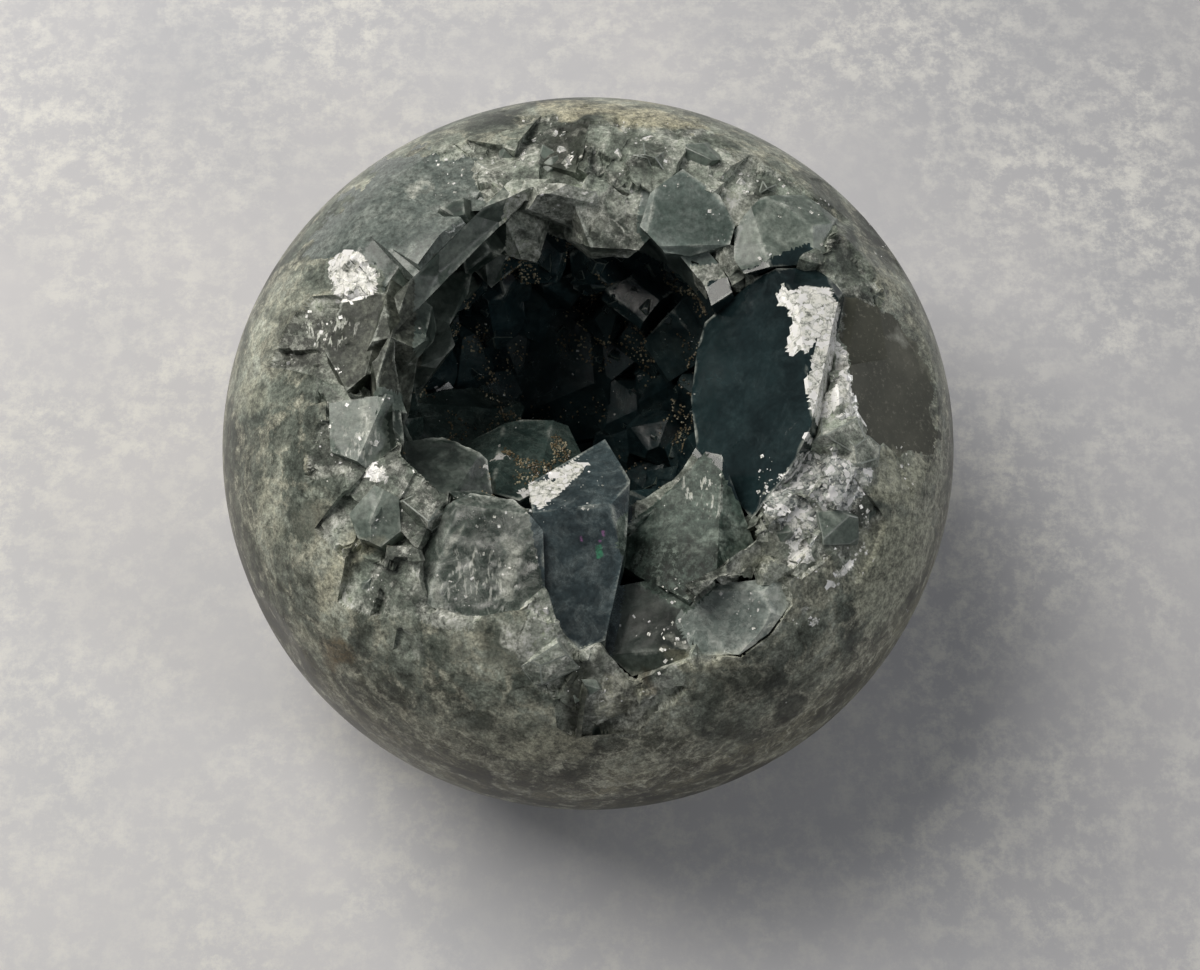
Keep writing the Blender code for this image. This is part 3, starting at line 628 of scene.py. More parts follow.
# Patches of the surface that the photograph shows. Under the attribute that it paints, each
# has its strength and its outline in the photograph in pixels.
PAINTED = {
    "cream": {
        # The crown: pale cream stone, painted paler still as light falling on the top of the rim.
        "crown": (0.85, ((530, 98), (645, 102), (705, 118), (712, 134), (650, 132), (600, 122),
                         (540, 120))),
        "left_edge": (0.35, ((246, 310), (262, 300), (280, 318), (276, 352), (250, 356))),
        "lower_left": (0.6, ((310, 592), (318, 560), (345, 520), (372, 528), (400, 545), (362, 566),
                             (338, 596), (334, 618), (312, 616))),
        "under_the_lens": (0.6, ((655, 636), (680, 650), (735, 652), (760, 660), (730, 676), (680, 672),
                                 (655, 655))),
        "front_middle": (0.5, ((585, 700), (600, 672), (642, 668), (660, 690), (640, 715), (600, 722))),
        "front_low": (0.5, ((470, 752), (545, 722), (600, 735), (590, 770), (510, 775))),
    },
    "iron": {
        "lower_left": (0.75, ((318, 636), (340, 626), (366, 650), (362, 676), (330, 670))),
        "front_left": (0.5, ((380, 690), (410, 700), (430, 730), (400, 730))),
        "front_vein": (0.7, ((636, 655), (652, 668), (662, 692), (650, 706), (638, 690))),
        "crown_speck": (0.5, ((572, 112), (592, 104), (600, 118), (588, 130))),
    },
    "dark": {
        "crown_crystal": (0.8, ((534, 168), (548, 130), (592, 117), (600, 142), (592, 166), (560, 176))),
        "left_crystal": (0.7, ((268, 306), (300, 302), (364, 306), (352, 340), (320, 376), (276, 372))),
        "left_low": (0.75, ((286, 505), (318, 492), (336, 515), (330, 548), (296, 552))),
        # Painted shade: the cracks, notches and gap from here to the right notch are darkened for the shade
        # inside them.
        "front_seam_painted_shade": (0.9, ((468, 716), (510, 728), (548, 712), (552, 722), (512, 742), (470, 728))),
        "front_cleft_painted_shade": (0.95, ((552, 660), (576, 650), (600, 664), (590, 700), (578, 745), (566, 740),
                               (562, 700))),
        "front_notch_painted_shade": (0.9, ((596, 706), (604, 668), (612, 650), (600, 648), (585, 690))),
        "upper_right_gap_painted_shade": (0.8, ((744, 188), (778, 178), (782, 186), (752, 206))),
        "right_notch_painted_shade": (0.8, ((776, 668), (790, 664), (806, 700), (798, 712), (784, 690))),
        "below_the_lens": (0.7, ((700, 676), (775, 668), (780, 690), (720, 705), (696, 695))),
        "front_left_crystal": (0.7, ((476, 628), (500, 622), (536, 640), (540, 672), (520, 680),
                                     (480, 660))),
        "below_the_clear_crystal": (0.6, ((398, 640), (440, 632), (475, 640), (478, 668), (430, 672))),
        "beside_the_lens": (0.6, ((616, 612), (650, 600), (690, 612), (680, 655), (640, 660))),
        "right_edge": (0.7, ((930, 541), (946, 520), (946, 560), (932, 566))),
    },
    "pale": {
        "upper_left_slab": (0.2, ((282, 284), (292, 240), (330, 212), (372, 226), (366, 250), (310, 284))),
        "left_edge": (0.7, ((234, 382), (262, 376), (270, 408), (248, 420), (234, 410))),
        "upper_right_edge": (0.6, ((890, 322), (904, 300), (938, 335), (956, 402), (930, 380))),
        "beside_the_crinkled_break": (0.9, ((864, 456), (890, 449), (925, 470), (918, 508), (880, 505),
                                            (866, 480))),
        "right_edge": (0.6, ((903, 458), (945, 456), (952, 480), (930, 500), (915, 480))),
        "beside_the_wedge": (0.7, ((722, 578), (745, 548), (772, 524), (785, 540), (785, 568),
                                   (755, 574))),
        "lower_left_edge": (0.6, ((250, 484), (262, 478), (282, 492), (288, 540), (276, 552), (254, 510))),
        "right_flank": (0.85, ((850, 520), (930, 510), (938, 560), (912, 620), (870, 640), (845, 600))),
        "front_low": (0.6, ((472, 722), (545, 742), (556, 738), (560, 762), (500, 768), (470, 745))),
    },
    "veil": {
        "slab_streak": (0.9, ((403, 200), (410, 182), (432, 180), (430, 192), (414, 206))),
        "top_left": (0.6, ((432, 152), (440, 138), (466, 134), (470, 148), (446, 160))),
        "blue_crystal_hem": (0.8, ((701, 175), (714, 170), (736, 190), (752, 206), (750, 224),
                                   (734, 222), (714, 198))),
        "top_right": (0.6, ((724, 160), (736, 143), (764, 146), (772, 176), (748, 182), (730, 178))),
        "lens_hem": (0.9, ((655, 630), (672, 626), (690, 650), (722, 654), (752, 640), (776, 608),
                           (788, 622), (765, 650), (730, 664), (688, 664))),
        "front_blade": (0.9, ((496, 622), (515, 614), (545, 640), (557, 676), (545, 692), (530, 680),
                              (512, 652))),
        "clear_crystal_side": (0.8, ((494, 534), (526, 536), (522, 570), (516, 602), (490, 600),
                                     (500, 565))),
        "clear_crystal_corner": (0.9, ((448, 528), (462, 518), (472, 524), (462, 545), (456, 560),
                                       (444, 556))),
        "clear_crystal_foot": (0.8, ((418, 580), (440, 572), (452, 612), (430, 612))),
        "left_round_crystal": (0.7, ((355, 404), (370, 400), (386, 420), (384, 442), (368, 452),
                                     (356, 430))),
        "hollow_lip": (0.7, ((480, 196), (500, 186), (540, 196), (535, 206), (496, 206))),
        "front_middle": (0.6, ((600, 660), (650, 674), (640, 700), (605, 700))),
        "back_right": (0.5, ((826, 228), (846, 222), (862, 250), (850, 262), (834, 250))),
        "flat_corner": (0.6, ((890, 322), (902, 330), (912, 352), (900, 352), (888, 338))),
        "lower_left": (0.5, ((376, 610), (398, 596), (414, 612), (412, 626), (392, 626))),
    },
    "stipple": {
        "wedge": (0.9, ((618, 545), (650, 536), (700, 545), (744, 530), (724, 575), (690, 606),
                        (640, 596))),
        "left_crystal": (0.8, ((272, 312), (340, 306), (374, 318), (356, 350), (318, 378), (282, 372))),
        "left_round_crystal": (0.5, ((300, 410), (350, 400), (372, 420), (366, 462), (310, 470))),
        "clear_crystal": (0.25, ((430, 520), (480, 500), (540, 520), (545, 590), (500, 612), (430, 610))),
        "front_right": (0.35, ((650, 655), (780, 655), (800, 700), (700, 760), (600, 740))),
    },
    "streak_and_painted_highlight": {
        "wedge": (1.0, ((680, 470), (712, 476), (728, 515), (704, 522), (682, 502))),
        "left_crystal": (0.9, ((300, 320), (340, 314), (366, 326), (350, 344), (310, 356))),
        "clear_crystal": (0.8, ((430, 560), (500, 552), (512, 590), (470, 608), (436, 600))),
        "left_round_crystal": (0.8, ((330, 440), (372, 410), (386, 430), (384, 462), (340, 470))),
    },
    # Tiny green and pink flashes: painted iridescent glints.
    "green_painted_glint": {
        "centre_crystal": (0.95, ((598, 543), (603, 542), (606, 551), (599, 560), (593, 555), (599, 551))),
        "upper_left": (0.7, ((352, 284), (360, 280), (364, 292), (356, 296))),
    },
    "pink_painted_glint": {
        "centre_crystal": (1.3, ((595, 528), (601, 528), (603, 541), (597, 542))),
        "centre_crystal_left": (1.2, ((576, 534), (582, 533), (582, 543), (577, 544))),
        "upper_left": (0.7, ((338, 262), (346, 258), (348, 272), (340, 276))),
    },
}

# Outlines in the photograph, in pixels: fresh pearly cleavage faces whose mirror-bright white is painted
# reflection of the lamps, the crumpled break on the right, the smooth section at the upper left and the
# wheel's flat on the right.
CLEAVAGE_WITH_PAINTED_REFLECTIONS = {
    "behind_the_blade": ((783, 286), (800, 290), (826, 290), (834, 305), (842, 345), (850, 385),
                         (854, 404), (836, 414), (814, 418), (808, 380), (811, 335), (798, 360),
                         (793, 345), (792, 318), (786, 308)),
    "blade_foot": ((840, 414), (852, 408), (860, 420), (852, 436), (842, 430)),
    "blade_foot_chip": ((810, 440), (828, 439), (829, 446), (812, 447)),
    "upper_left_crystal": ((330, 262), (345, 252), (368, 255), (376, 280), (372, 300), (350, 302),
                           (332, 296)),
    "roof_of_the_centre_crystal": ((519, 493), (545, 474), (575, 456), (592, 462), (584, 472),
                                   (556, 492), (545, 513), (530, 509)),
    "left_flake": ((363, 466), (376, 463), (391, 472), (386, 478), (370, 476)),
    "flake_in_the_hollow": ((484, 465), (503, 453), (508, 458), (492, 468)),
    "crinkled_upper_glint": ((784, 515), (806, 512), (812, 530), (790, 532)),
    "crinkled_middle_glint": ((785, 540), (808, 541), (811, 566), (788, 570)),
    "crinkled_right_glint": ((833, 567), (850, 562), (849, 572), (836, 577)),
    "crinkled_lower_glint": ((829, 582), (840, 582), (839, 588), (830, 588)),
    "lens_glint": ((810, 614), (825, 615), (823, 623), (812, 620)),
}
CRINKLED_BREAK = ((755, 515), (775, 480), (800, 458), (832, 452), (862, 470), (869, 498), (845, 522),
                  (820, 528), (812, 548), (790, 560), (783, 530))
CLEAR_SLAB = ((300, 262), (330, 212), (400, 150), (478, 158), (480, 214), (430, 262), (384, 298),
              (376, 262))
GROUND_FLAT = ((842, 292), (872, 302), (900, 326), (930, 364), (957, 404), (957, 452), (890, 455),
               (862, 440), (852, 400), (846, 350))


def frayed_spot(point):
    """A point's place in the photograph, shaken a little so that outlines come out ragged."""
    x, y = in_photo(point)
    shake = noise.turbulence_vector(point / (FRAY_MM * MM), 4, False) * FRAY_PIXELS
    return x + shake.x, y + shake.y


def crisp_edge_tree(bm):
    """Points along the sharp outer edges of the crystals."""
    middles = [(edge.verts[0].co + edge.verts[1].co) / 2 for edge in bm.edges
               if not edge.smooth and edge.is_manifold and edge.calc_face_angle_signed(0.0) > 0.35]
    tree = KDTree(len(middles))
    for index, middle in enumerate(middles):
        tree.insert(middle, index)
    tree.balance()
    return tree


def bounds_of(outline):
    """The box around an outline: left, right, top and bottom."""
    columns, rows = zip(*outline)
    return min(columns), max(columns), min(rows), max(rows)


def depth_inside(spot, outline):
    """How far inside an outline a spot lies; 0 outside it."""
    if not inside_outline(spot, outline):
        return 0.0
    x, y = spot
    nearest = []
    for (ax, ay), (bx, by) in zip(outline, outline[1:] + outline[:1]):
        across, down = bx - ax, by - ay
        along = max(0.0, min(1.0, ((x - ax) * across + (y - ay) * down) / (across ** 2 + down ** 2)))
        nearest.append(math.hypot(x - ax - along * across, y - ay - along * down))
    return min(nearest)


def paint(bm, cell_tone, frosted):
    """Store patches, tones and the paleness of crisp edges on the vertices."""
    layers = {name: bm.verts.layers.float[name] for name in PAINT_LAYERS}
    patches = [(layers[name], strength, outline, bounds_of(outline))
               for name, group in PAINTED.items() for strength, outline in group.values()]
    edges = crisp_edge_tree(bm) if frosted else None
    for vert in bm.verts:
        tone = cell_tone.get(vert, 0.0)
        vert[layers["pale"]] = max(0.0, tone) * 0.6
        vert[layers["dark"]] = max(0.0, -tone) * 0.55
        if frosted and vert.co.z > PAINTED_ABOVE:
            near = edges.find(vert.co)[2] or 0.0
            worn = 0.55 + 0.8 * noise.noise(vert.co / (2.5 * MM))
            vert[layers["frost"]] = max(0.0, 1 - near / FROST_WIDTH) * max(0.0, min(1.0, worn)) * frosted
        if vert.co.z > PAINTED_ABOVE:
            spot = frayed_spot(vert.co)
            for layer, strength, outline, (left, right, top, bottom) in patches:
                if left < spot[0] < right and top < spot[1] < bottom:
                    depth = depth_inside(spot, outline)
                    if depth:
                        vert[layer] = max(vert[layer], strength * min(1.0, 0.45 + depth / SOFT_PIXELS))


# Which crystal a face of the crust belongs to, seen from above: outline in mm, lowest
# height in mm and finish.
CRYSTAL_ZONES = (
    (((24.0, 13.0), (17.5, 12.5), (15.0, 4.5), (13.0, -3.0), (14.0, -11.4), (22.6, -25.0), (28.5, -18.4),
      (32.0, -12.9), (35.0, -1.0), (38.0, 9.0), (31.7, 17.0)), 44.0, "blade"),
    (((16.3, -14.0), (4.0, -26.2), (4.0, -30.0), (7.3, -33.0), (13.6, -37.0), (24.5, -28.2), (20.5, -19.0),
      (18.5, -15.0)), 44.0, "wedge"),
    (((-1.7, -14.0), (-8.5, -20.0), (-7.5, -27.0), (-5.7, -35.2), (-3.5, -41.0), (-0.9, -44.0),
      (3.5, -42.5), (5.8, -29.5), (6.4, -19.0), (3.0, -11.0)), 44.0, "centre"),
    (((-19.7, -23.0), (-24.0, -29.0), (-23.0, -38.0), (-15.5, -40.0), (-7.8, -39.5), (-5.0, -35.7),
      (-5.5, -27.0), (-9.0, -22.0), (-15.7, -21.0)), 52.0, "clear"),
    (((-27.5, -11.0), (-26.5, -19.0), (-20.0, -23.5), (-12.0, -21.0), (-13.5, -13.0), (-20.4, -9.5)), 50.0,
     "shadow"),
    (((-24.0, 9.0), (-37.0, 9.0), (-38.0, -8.0), (-24.0, -8.0)), 58.0, "dull"),
    (((-20.0, 2.0), (-37.0, -3.0), (-38.0, -20.0), (-28.0, -31.0), (-22.5, -29.0), (-19.0, -23.0)),
     56.0, "round"),
    (((7.0, 19.5), (10.5, 14.7), (21.0, 14.7), (22.2, 19.1), (19.0, 24.2), (13.7, 29.0), (8.0, 25.9)),
     56.0, "blue"),
    (((21.0, 19.0), (21.0, 12.0), (31.0, 12.0), (36.0, 16.0), (38.0, 24.0), (31.0, 28.0), (24.0, 25.0)),
     56.0, "round"),
    (((12.0, -38.0), (15.3, -44.0), (21.0, -44.0), (26.0, -41.0), (29.0, -36.0), (27.5, -31.0),
      (17.3, -32.0), (13.6, -35.0)), 50.0, "lens"),
    (((3.0, -33.0), (0.0, -41.0), (6.2, -46.0), (14.5, -43.5), (16.0, -36.9), (11.0, -31.0)), 50.0,
     "shadow"),
    (((-32.0, 18.0), (-29.0, 2.0), (-18.0, 1.0), (-15.0, 12.9), (-11.0, 21.6), (-15.0, 28.0)),
     52.0, "green"),
    (((-29.5, 4.0), (-30.0, -7.0), (-22.0, -10.0), (-12.0, -4.0), (-9.5, 7.0), (-18.2, 10.0)), 34.0,
     "deep"),
    (((-20.0, -4.0), (-19.0, -16.0), (-9.7, -18.5), (1.0, -9.0), (-3.0, -0.5), (-10.0, -0.5)), 38.0,
     "deep"),
)


def special_finish(face, spot):
    """The finish that the photograph shows at this spot, if it is a fresh break."""
    if face.normal.z < FACES_CAMERA:
        return None
    # Inside these outlines the white cleavage finish is partly painted reflection of the lamps.
    if any(inside_outline(spot, outline) for outline in CLEAVAGE_WITH_PAINTED_REFLECTIONS.values()):
        return "cleavage"
    if inside_outline(spot, CRINKLED_BREAK):
        return "crinkled"
    return None


def zone_finish(point):
    """The finish of the crystal that stands at this point."""
    above = (point.x / MM, point.y / MM)
    for outline, lowest, finish in CRYSTAL_ZONES:
        if point.z > lowest * MM and inside_outline(above, outline):
            return finish
    return "rim" if point.z > RIM_CRYSTALS_ABOVE else "hollow"


def crust_finish(face):
    """The finish of a crust face, from where it lies."""
    middle = face.calc_center_median()
    special = special_finish(face, frayed_spot(middle)) if middle.z > RIM_ABOVE else None
    return special or zone_finish(middle)


CRUST_MATERIALS = {
    # The depth of the hollow: almost black teal with a dull shine.
    "hollow": crystal("celestine_deep_teal_in_the_hollow", "#16252a", "#3a5358", "#7d8c86", 0.5,
                      "#8fb5b4", 18.0, 0.22, veiled=0.25, crackle=0.15, relief=0.15, shine=0.25),
    # Ledges in the hollow: dark teal, a little lighter where light reaches them.
    "deep": crystal("celestine_teal_ledge_in_the_hollow", "#2c3d3b", "#5b706b", "#9aa79e", 0.4,
                    "#9fc0ba", 14.0, 0.2, veiled=0.35, crackle=0.2, relief=0.15),
    # The tall blade: smooth dark slate blue.
    "blade": crystal("celestine_blue_blade", "#131f22", "#2a3d40", "#4a5d60", 0.3,
                     "#6f93a0", 90.0, 0.1, veiled=0.3, crackle=0.0, relief=0.04, shine=0.35, mottled=0.25),
    # The wedge: cloudy green-grey with dark dots and short bright streaks, which are painted highlights.
    "wedge": crystal("celestine_striped_green_grey", "#1f2c26", "#5c6e65", "#aebab0", 0.25,
                     "#a9c4bd", 20.0, 0.42, veiled=0.6, crackle=0.05, relief=0.25, shine=0.04, mottled=0.8),
    # The clear crystal in the middle: slate blue with faint clouds.
    "centre": crystal("celestine_clear_slate_blue", "#323f44", "#5b6d72", "#a3afae", 0.55,
                      "#9bb5bf", 24.0, 0.2, veiled=0.42, crackle=0.15, relief=0.2),
    # The fractured block: clear, crossed by white healed cracks.
    "clear": crystal("celestine_clear_fractured", "#434e49", "#76827a", "#d8dcd5", 0.45,
                     "#b8c8c4", 15.0, 0.14, veiled=0.55, crackle=0.5, relief=0.45),
    # The blue crystal at the back: pale slate blue, frosted.
    "blue": crystal("celestine_pale_slate_blue", "#55665f", "#81918b", "#b3bdb9", 0.4,
                    "#a6bcc4", 15.0, 0.28, veiled=0.45, crackle=0.1, relief=0.15),
    # Worn round crystals: pale green-grey and cloudy.
    "round": crystal("celestine_pale_green_grey", "#5f6e67", "#8a978e", "#bac2b8", 0.4,
                     "#b0c6be", 15.0, 0.3, veiled=0.6, crackle=0.2, relief=0.3, shine=0.25),
    # Crystals in the shade of the rim: green-grey.
    "green": crystal("celestine_shaded_green_grey", "#34423d", "#606e66", "#a0aba1", 0.45,
                     "#9fb8b0", 22.0, 0.32, veiled=0.45, crackle=0.15, relief=0.2, shine=0.35),
    # The lens in front: pale, almost white at its hem.
    "lens": crystal("celestine_pale_lens", "#778580", "#abb6b0", "#d8dcd6", 0.35,
                    "#b0c5ca", 12.0, 0.24, veiled=0.6, crackle=0.25, relief=0.2),
    # The rough crystal on the left: dull dark grey, mottled.
    "dull": crystal("celestine_dull_dark_grey", "#30362f", "#5a6058", "#a3a79b", 0.3,
                    "#90aaa2", 20.0, 0.45, veiled=0.6, crackle=0.2, relief=0.5, shine=0.06, mottled=0.9),
    # Dark green-grey crystals in the gaps, darkened as painted shade.
    "shadow": crystal("celestine_green_grey_with_painted_shade", "#26312d", "#4f5c55", "#8d9890", 0.45,
                      "#90aaa2", 24.0, 0.28, veiled=0.45, crackle=0.2, relief=0.25),
    # The broken rim: hackly grey-green stone with pale specks, many of them painted glints.
    "rim": rind("celestine_broken_rim", ("#494a3e", "#68695d", "#858679", "#a9aa9c"),
                ("#474d47", "#687067", "#888f85", "#adb2a7"), "#cdd0c7", 1.0),
    # Fresh cleavage: pearly white, almost a mirror; its near-white is partly painted reflection of the
    # lamps, with white specks as painted glints.
    "cleavage": cleavage_face("celestine_pearly_cleavage_painted_reflection", "#fbfbf5", "#bcc0b8", "#565b56", 0.9, 0.45, 0.2),
    # The crumpled break: blue-grey with hard glints, partly real and partly painted as white specks.
    "crinkled": cleavage_face("celestine_crinkled_cleavage_painted_glints", "#c0c5bf", "#6f7775", "#313a42", 1.1, 1.0,
                              0.14),
}

WALL_MATERIALS = {
    # The ground and polished outside: mottled brown-grey, greener towards the mouth.
    "skin": rind("celestine_ground_and_polished", ("#353429", "#474537", "#595746", "#6f6c5a"),
                 ("#4a504a", "#636a62", "#7c8278", "#999e93"), "#b2b2a1", 0.0),
    "rim": CRUST_MATERIALS["rim"],
    "flat": wheel_flat(),
    # A crystal ground through and polished: smooth grey-green.
    "slab": crystal("celestine_polished_slab", "#66716d", "#848e89", "#b9c0b8", 0.3, "#b0c6be", 15.0, 0.2,
                    veiled=0.45, crackle=0.0, relief=0.1, shine=0.25, mottled=0.7),
    "cleavage": CRUST_MATERIALS["cleavage"],
    "crinkled": CRUST_MATERIALS["crinkled"],
    "seat": CRUST_MATERIALS["shadow"],
}

# Relief of each crust finish in mm: size of its splinters, and how strongly they tilt.
CRUST_RELIEF = {
    "hollow": (3.0, 0.05), "deep": (4.0, 0.05), "blade": (9.0, 0.012), "wedge": (4.0, 0.03),
    "centre": (5.0, 0.02), "clear": (3.5, 0.13), "blue": (5.0, 0.03), "round": (4.0, 0.1),
    "green": (4.0, 0.05), "lens": (4.0, 0.08), "shadow": (4.0, 0.07), "dull": (3.0, 0.12),
    "rim": (4.0, 0.2), "cleavage": (2.4, 0.12), "crinkled": (2.0, 0.22),
}
CELL_TONE = {"rim": 0.8, "clear": 0.35, "round": 0.3, "hollow": 0.3, "shadow": 0.3, "green": 0.3}


def assign(mesh_object, bm, materials, choose):
    """Give the object its materials and each face the one that choose names."""
    names = list(materials)
    for name in names:
        mesh_object.data.materials.append(materials[name])
    for face in bm.faces:
        face.material_index = names.index(choose(face))


def make_object(name):
    """An empty mesh object at the origin."""
    mesh = bpy.data.meshes.new(name)
    thing = bpy.data.objects.new(name, mesh)
    bpy.context.scene.collection.objects.link(thing)
    return thing


def finish_object(thing, bm, replaced=None, smooth=True):
    """Keep the mesh inside the box of the solids, store it and register the piece."""
    for vert in bm.verts:
        vert.co.z = min(vert.co.z, cad_box[1][2] - BOX_MARGIN)
    for face in bm.faces:
        face.smooth = smooth
    bm.to_mesh(thing.data)
    bm.free()
    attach(thing, "root")
    if replaced:
        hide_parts(replaced)


def sharpen(bm, moved):
    """Make the steps that the splinters left crisp."""
    bm.normal_update()
    for edge in bm.edges:
        if edge.smooth and (edge.verts[0] in moved or edge.verts[1] in moved):
            edge.smooth = edge.calc_face_angle(0.0) < CRISP_BREAK


def dress_crust():
    """The crust with its fine steps and splinters."""
    bm = merged_copy("crystal_crust")
    refine(bm, crust_fineness)
    finishes = {}
    for face in bm.faces:
        finish = crust_finish(face)
        for vert in face.verts:
            if vert not in finishes or CRUST_RELIEF[finish][1] < CRUST_RELIEF[finishes[vert]][1]:
                finishes[vert] = finish
    tones = {}
    moves = {}
    for vert, finish in finishes.items():
        if seat_reach(vert.co) > STILL and vert.co.z < STILL_BELOW:
            continue
        size, tilt = CRUST_RELIEF[finish]
        rise, tone = crystal_cell(vert.co, size * MM)
        fine = crystal_cell(vert.co, size * 0.4 * MM)[0]
        moves[vert] = vert.normal * (rise * tilt + fine * tilt * 0.8 - 0.02 * MM)
        tones[vert] = tone * CELL_TONE.get(finish, 0.1)
    paint(bm, tones, 1.25)
    chosen = {face: crust_finish(face) for face in bm.faces}
    for vert, move in moves.items():
        moved = vert.co + move
        vert.co = moved if skin_depth(moved) > HAIR else vert.co
    sharpen(bm, moves)
    thing = make_object("crystals_of_the_hollow")
    assign(thing, bm, CRUST_MATERIALS, chosen.get)
    tree = BVHTree.FromBMesh(bm)
    finish_object(thing, bm, "crystal_crust")
    return tree


def on_flat(face_normal):
    """Whether a face belongs to one of the wheel's flats."""
    return any(face_normal.dot(Vector(flat).normalized()) > 0.9985 for flat in WHEEL_FLATS)


def rim_reach(point):
    """Ragged outer limit of the broken zone around the mouth: positive inside it."""
    turn = math.atan2(point.y - MOUTH_MIDDLE.y, point.x - MOUTH_MIDDLE.x)
    limit = 39.0 + 3.5 * math.sin(turn + 0.4) + 3.5 * math.cos(turn - math.radians(60))
    limit += 10.0 * noise.fractal(point / (9 * MM), 0.8, 2.0, 4)
    return limit * MM - mouth_distance(point)


def dress_wall(crust_tree):
    """The ground nodule: polished skin, hackly rim, and the seat closed against the crust."""
    bm = merged_copy("geode_wall")
    refine(bm, wall_fineness)
    kept_flat = {vert for face in bm.faces if on_flat(face.normal) for vert in face.verts}
    polish = bm.verts.layers.float["polish"]
    for vert in bm.verts:
        if vert in kept_flat:
            vert[polish] = 1.0
        elif skin_depth(vert.co) < SKIN_TOLERANCE:
            if vert.co.z > BASE_EDGE:
                vert.co = onto_form(vert.co)
            vert[polish] = 1.0
    tones = {}
    moved = set()
    for vert in bm.verts:
        if vert.co.z < BROKEN_ABOVE:
            continue
        spot = in_photo(vert.co)
        if inside_outline(spot, GROUND_FLAT) or inside_outline(spot, CLEAR_SLAB):
            continue
        cells = [crystal_cell(vert.co, size) for size in WALL_CELLS]
        (large, tone), (middle, second), (small, _tone) = cells
        if vert[polish]:
            bite = min(1.0, rim_reach(vert.co) / BITE_REACH)
            if bite <= 0:
                continue
            dip = (0.4 * abs(large) + 0.25 * abs(middle) + 0.15 * abs(small)) * bite
            vert.co -= vert.normal * min(dip, DEEPEST_DIP)
            vert[polish] = 1.0 - bite
            tones[vert] = (0.5 * tone + 0.5 * second) * bite
        else:
            place = vert.co + vert.normal * (0.32 * large + 0.16 * middle + 0.10 * small - 0.1 * MM)
            vert.co = place if form_reach(place) < 1 else onto_form(place)
            tones[vert] = 0.5 * tone + 0.5 * second
        moved.add(vert)
    for vert in bm.verts:
        if skin_depth(vert.co) > HAIR:
            place, _normal, _index, distance = crust_tree.find_nearest(vert.co, SEAM_REACH)
            if place is not None and distance > 0:
                pull = min(1.0, (SEAM_REACH - distance) / (SEAM_REACH - SEAM_GAP))
                vert.co += ((place - vert.co) + (place - vert.co).normalized() * HAIR) * pull
    sharpen(bm, moved)
    paint(bm, tones, 0.5)

    def wall_finish(face):
        """The finish of a wall face, from where it lies."""
        middle = face.calc_center_median()
        polished = sum(vert[polish] for vert in face.verts) / 3
        if middle.z > BROKEN_ABOVE:
            spot = frayed_spot(middle)
            special = special_finish(face, spot)
            if special:
                return special
            torn = 3 * MM * noise.noise(middle / (3 * MM))
            if middle.z + torn > FLAT_ABOVE:
                if inside_outline(spot, GROUND_FLAT):
                    return "flat"
                if inside_outline(spot, CLEAR_SLAB):
                    return "slab"
        if polished > 0.5:
            return "skin"
        if middle.z < LEDGES_BELOW or skin_depth(middle) > DEEP_IN_WALL:
            return "seat"
        return "rim"

    thing = make_object("ground_nodule")
    assign(thing, bm, WALL_MATERIALS, wall_finish)
    tree = BVHTree.FromBMesh(bm)
    finish_object(thing, bm, "geode_wall")
    return tree


def turned(way, rng):
    """The turn that stands a shape along a way, spun about it at random."""
    upright = way.to_track_quat("Z", "Y").to_matrix().to_4x4()
    return upright @ Matrix.Rotation(rng.uniform(0, FULL_TURN), 4, "Z")


def add_block(bm, place, facing, size, rng, lean=0.35):
    """One small crystal: a box cut by a few random faces, its end a chisel."""
    turn = turned(facing, rng)
    shape = Matrix.Diagonal((size, size * rng.uniform(0.6, 1.0), size * rng.uniform(0.9, 1.5), 1.0))
    part = bmesh.new()
    bmesh.ops.create_cube(part, size=1.0, matrix=Matrix.Translation(place) @ turn @ shape)
    for _ in range(5):
        way = (facing * rng.uniform(0.2, 1.2) + Vector([rng.uniform(-1, 1) for _ in range(3)])).normalized()
        bmesh.ops.bisect_plane(part, geom=part.verts[:] + part.edges[:] + part.faces[:], dist=1e-6,
                               plane_co=place + way * size * rng.uniform(lean, 0.62), plane_no=way,
                               clear_outer=True)
        rim = [edge for edge in part.edges if edge.is_boundary]
        if rim:
            bmesh.ops.holes_fill(part, edges=rim, sides=0)
    bmesh.ops.recalc_face_normals(part, faces=part.faces)
    bevelled = bmesh.ops.bevel(part, geom=part.edges[:], offset=min(EDGE_WEAR, size * 0.04), segments=1,
                               profile=0.5, affect="EDGES", material=-1)
    for face in bevelled["faces"]:
        face.material_index = 1
    for vert in part.verts:
        if form_reach(vert.co) > 0.999:
            vert.co = onto_form(vert.co) * 0.9995 + FORM_MIDDLE * 0.0005
    mesh = bpy.data.meshes.new("part")
    part.to_mesh(mesh)
    part.free()
    bm.from_mesh(mesh)
    bpy.data.meshes.remove(mesh)


def add_small_crystals(name, seats, material, worn, sizes, rng):
    """Small crystals on the given seats, each a place with its outward direction."""
    bm = bmesh.new()
    for place, normal in seats:
        jitter = Vector([rng.uniform(-0.6, 0.6) for _ in range(3)])
        size = sizes[0] + (sizes[1] - sizes[0]) * rng.random() ** 2
        add_block(bm, place - normal * size * 0.34, (normal + jitter).normalized(), size, rng)
    thing = make_object(name)
    thing.data.materials.append(material)
    thing.data.materials.append(worn)
    finish_object(thing, bm, smooth=False)


def hollow_seats(tree, count, rng, lowest, highest):
    """Random places on the crust seen from the middle of the hollow."""
    for _ in range(count):
        way = Vector((rng.gauss(0, 1), rng.gauss(0, 1), rng.uniform(lowest, highest))).normalized()
        start = HOLLOW_CENTRE + Vector((rng.uniform(-8, 8), rng.uniform(-8, 8), 0)) * MM
        place, normal, _index, _distance = tree.ray_cast(start, way)
        if place is not None:
            yield place, normal


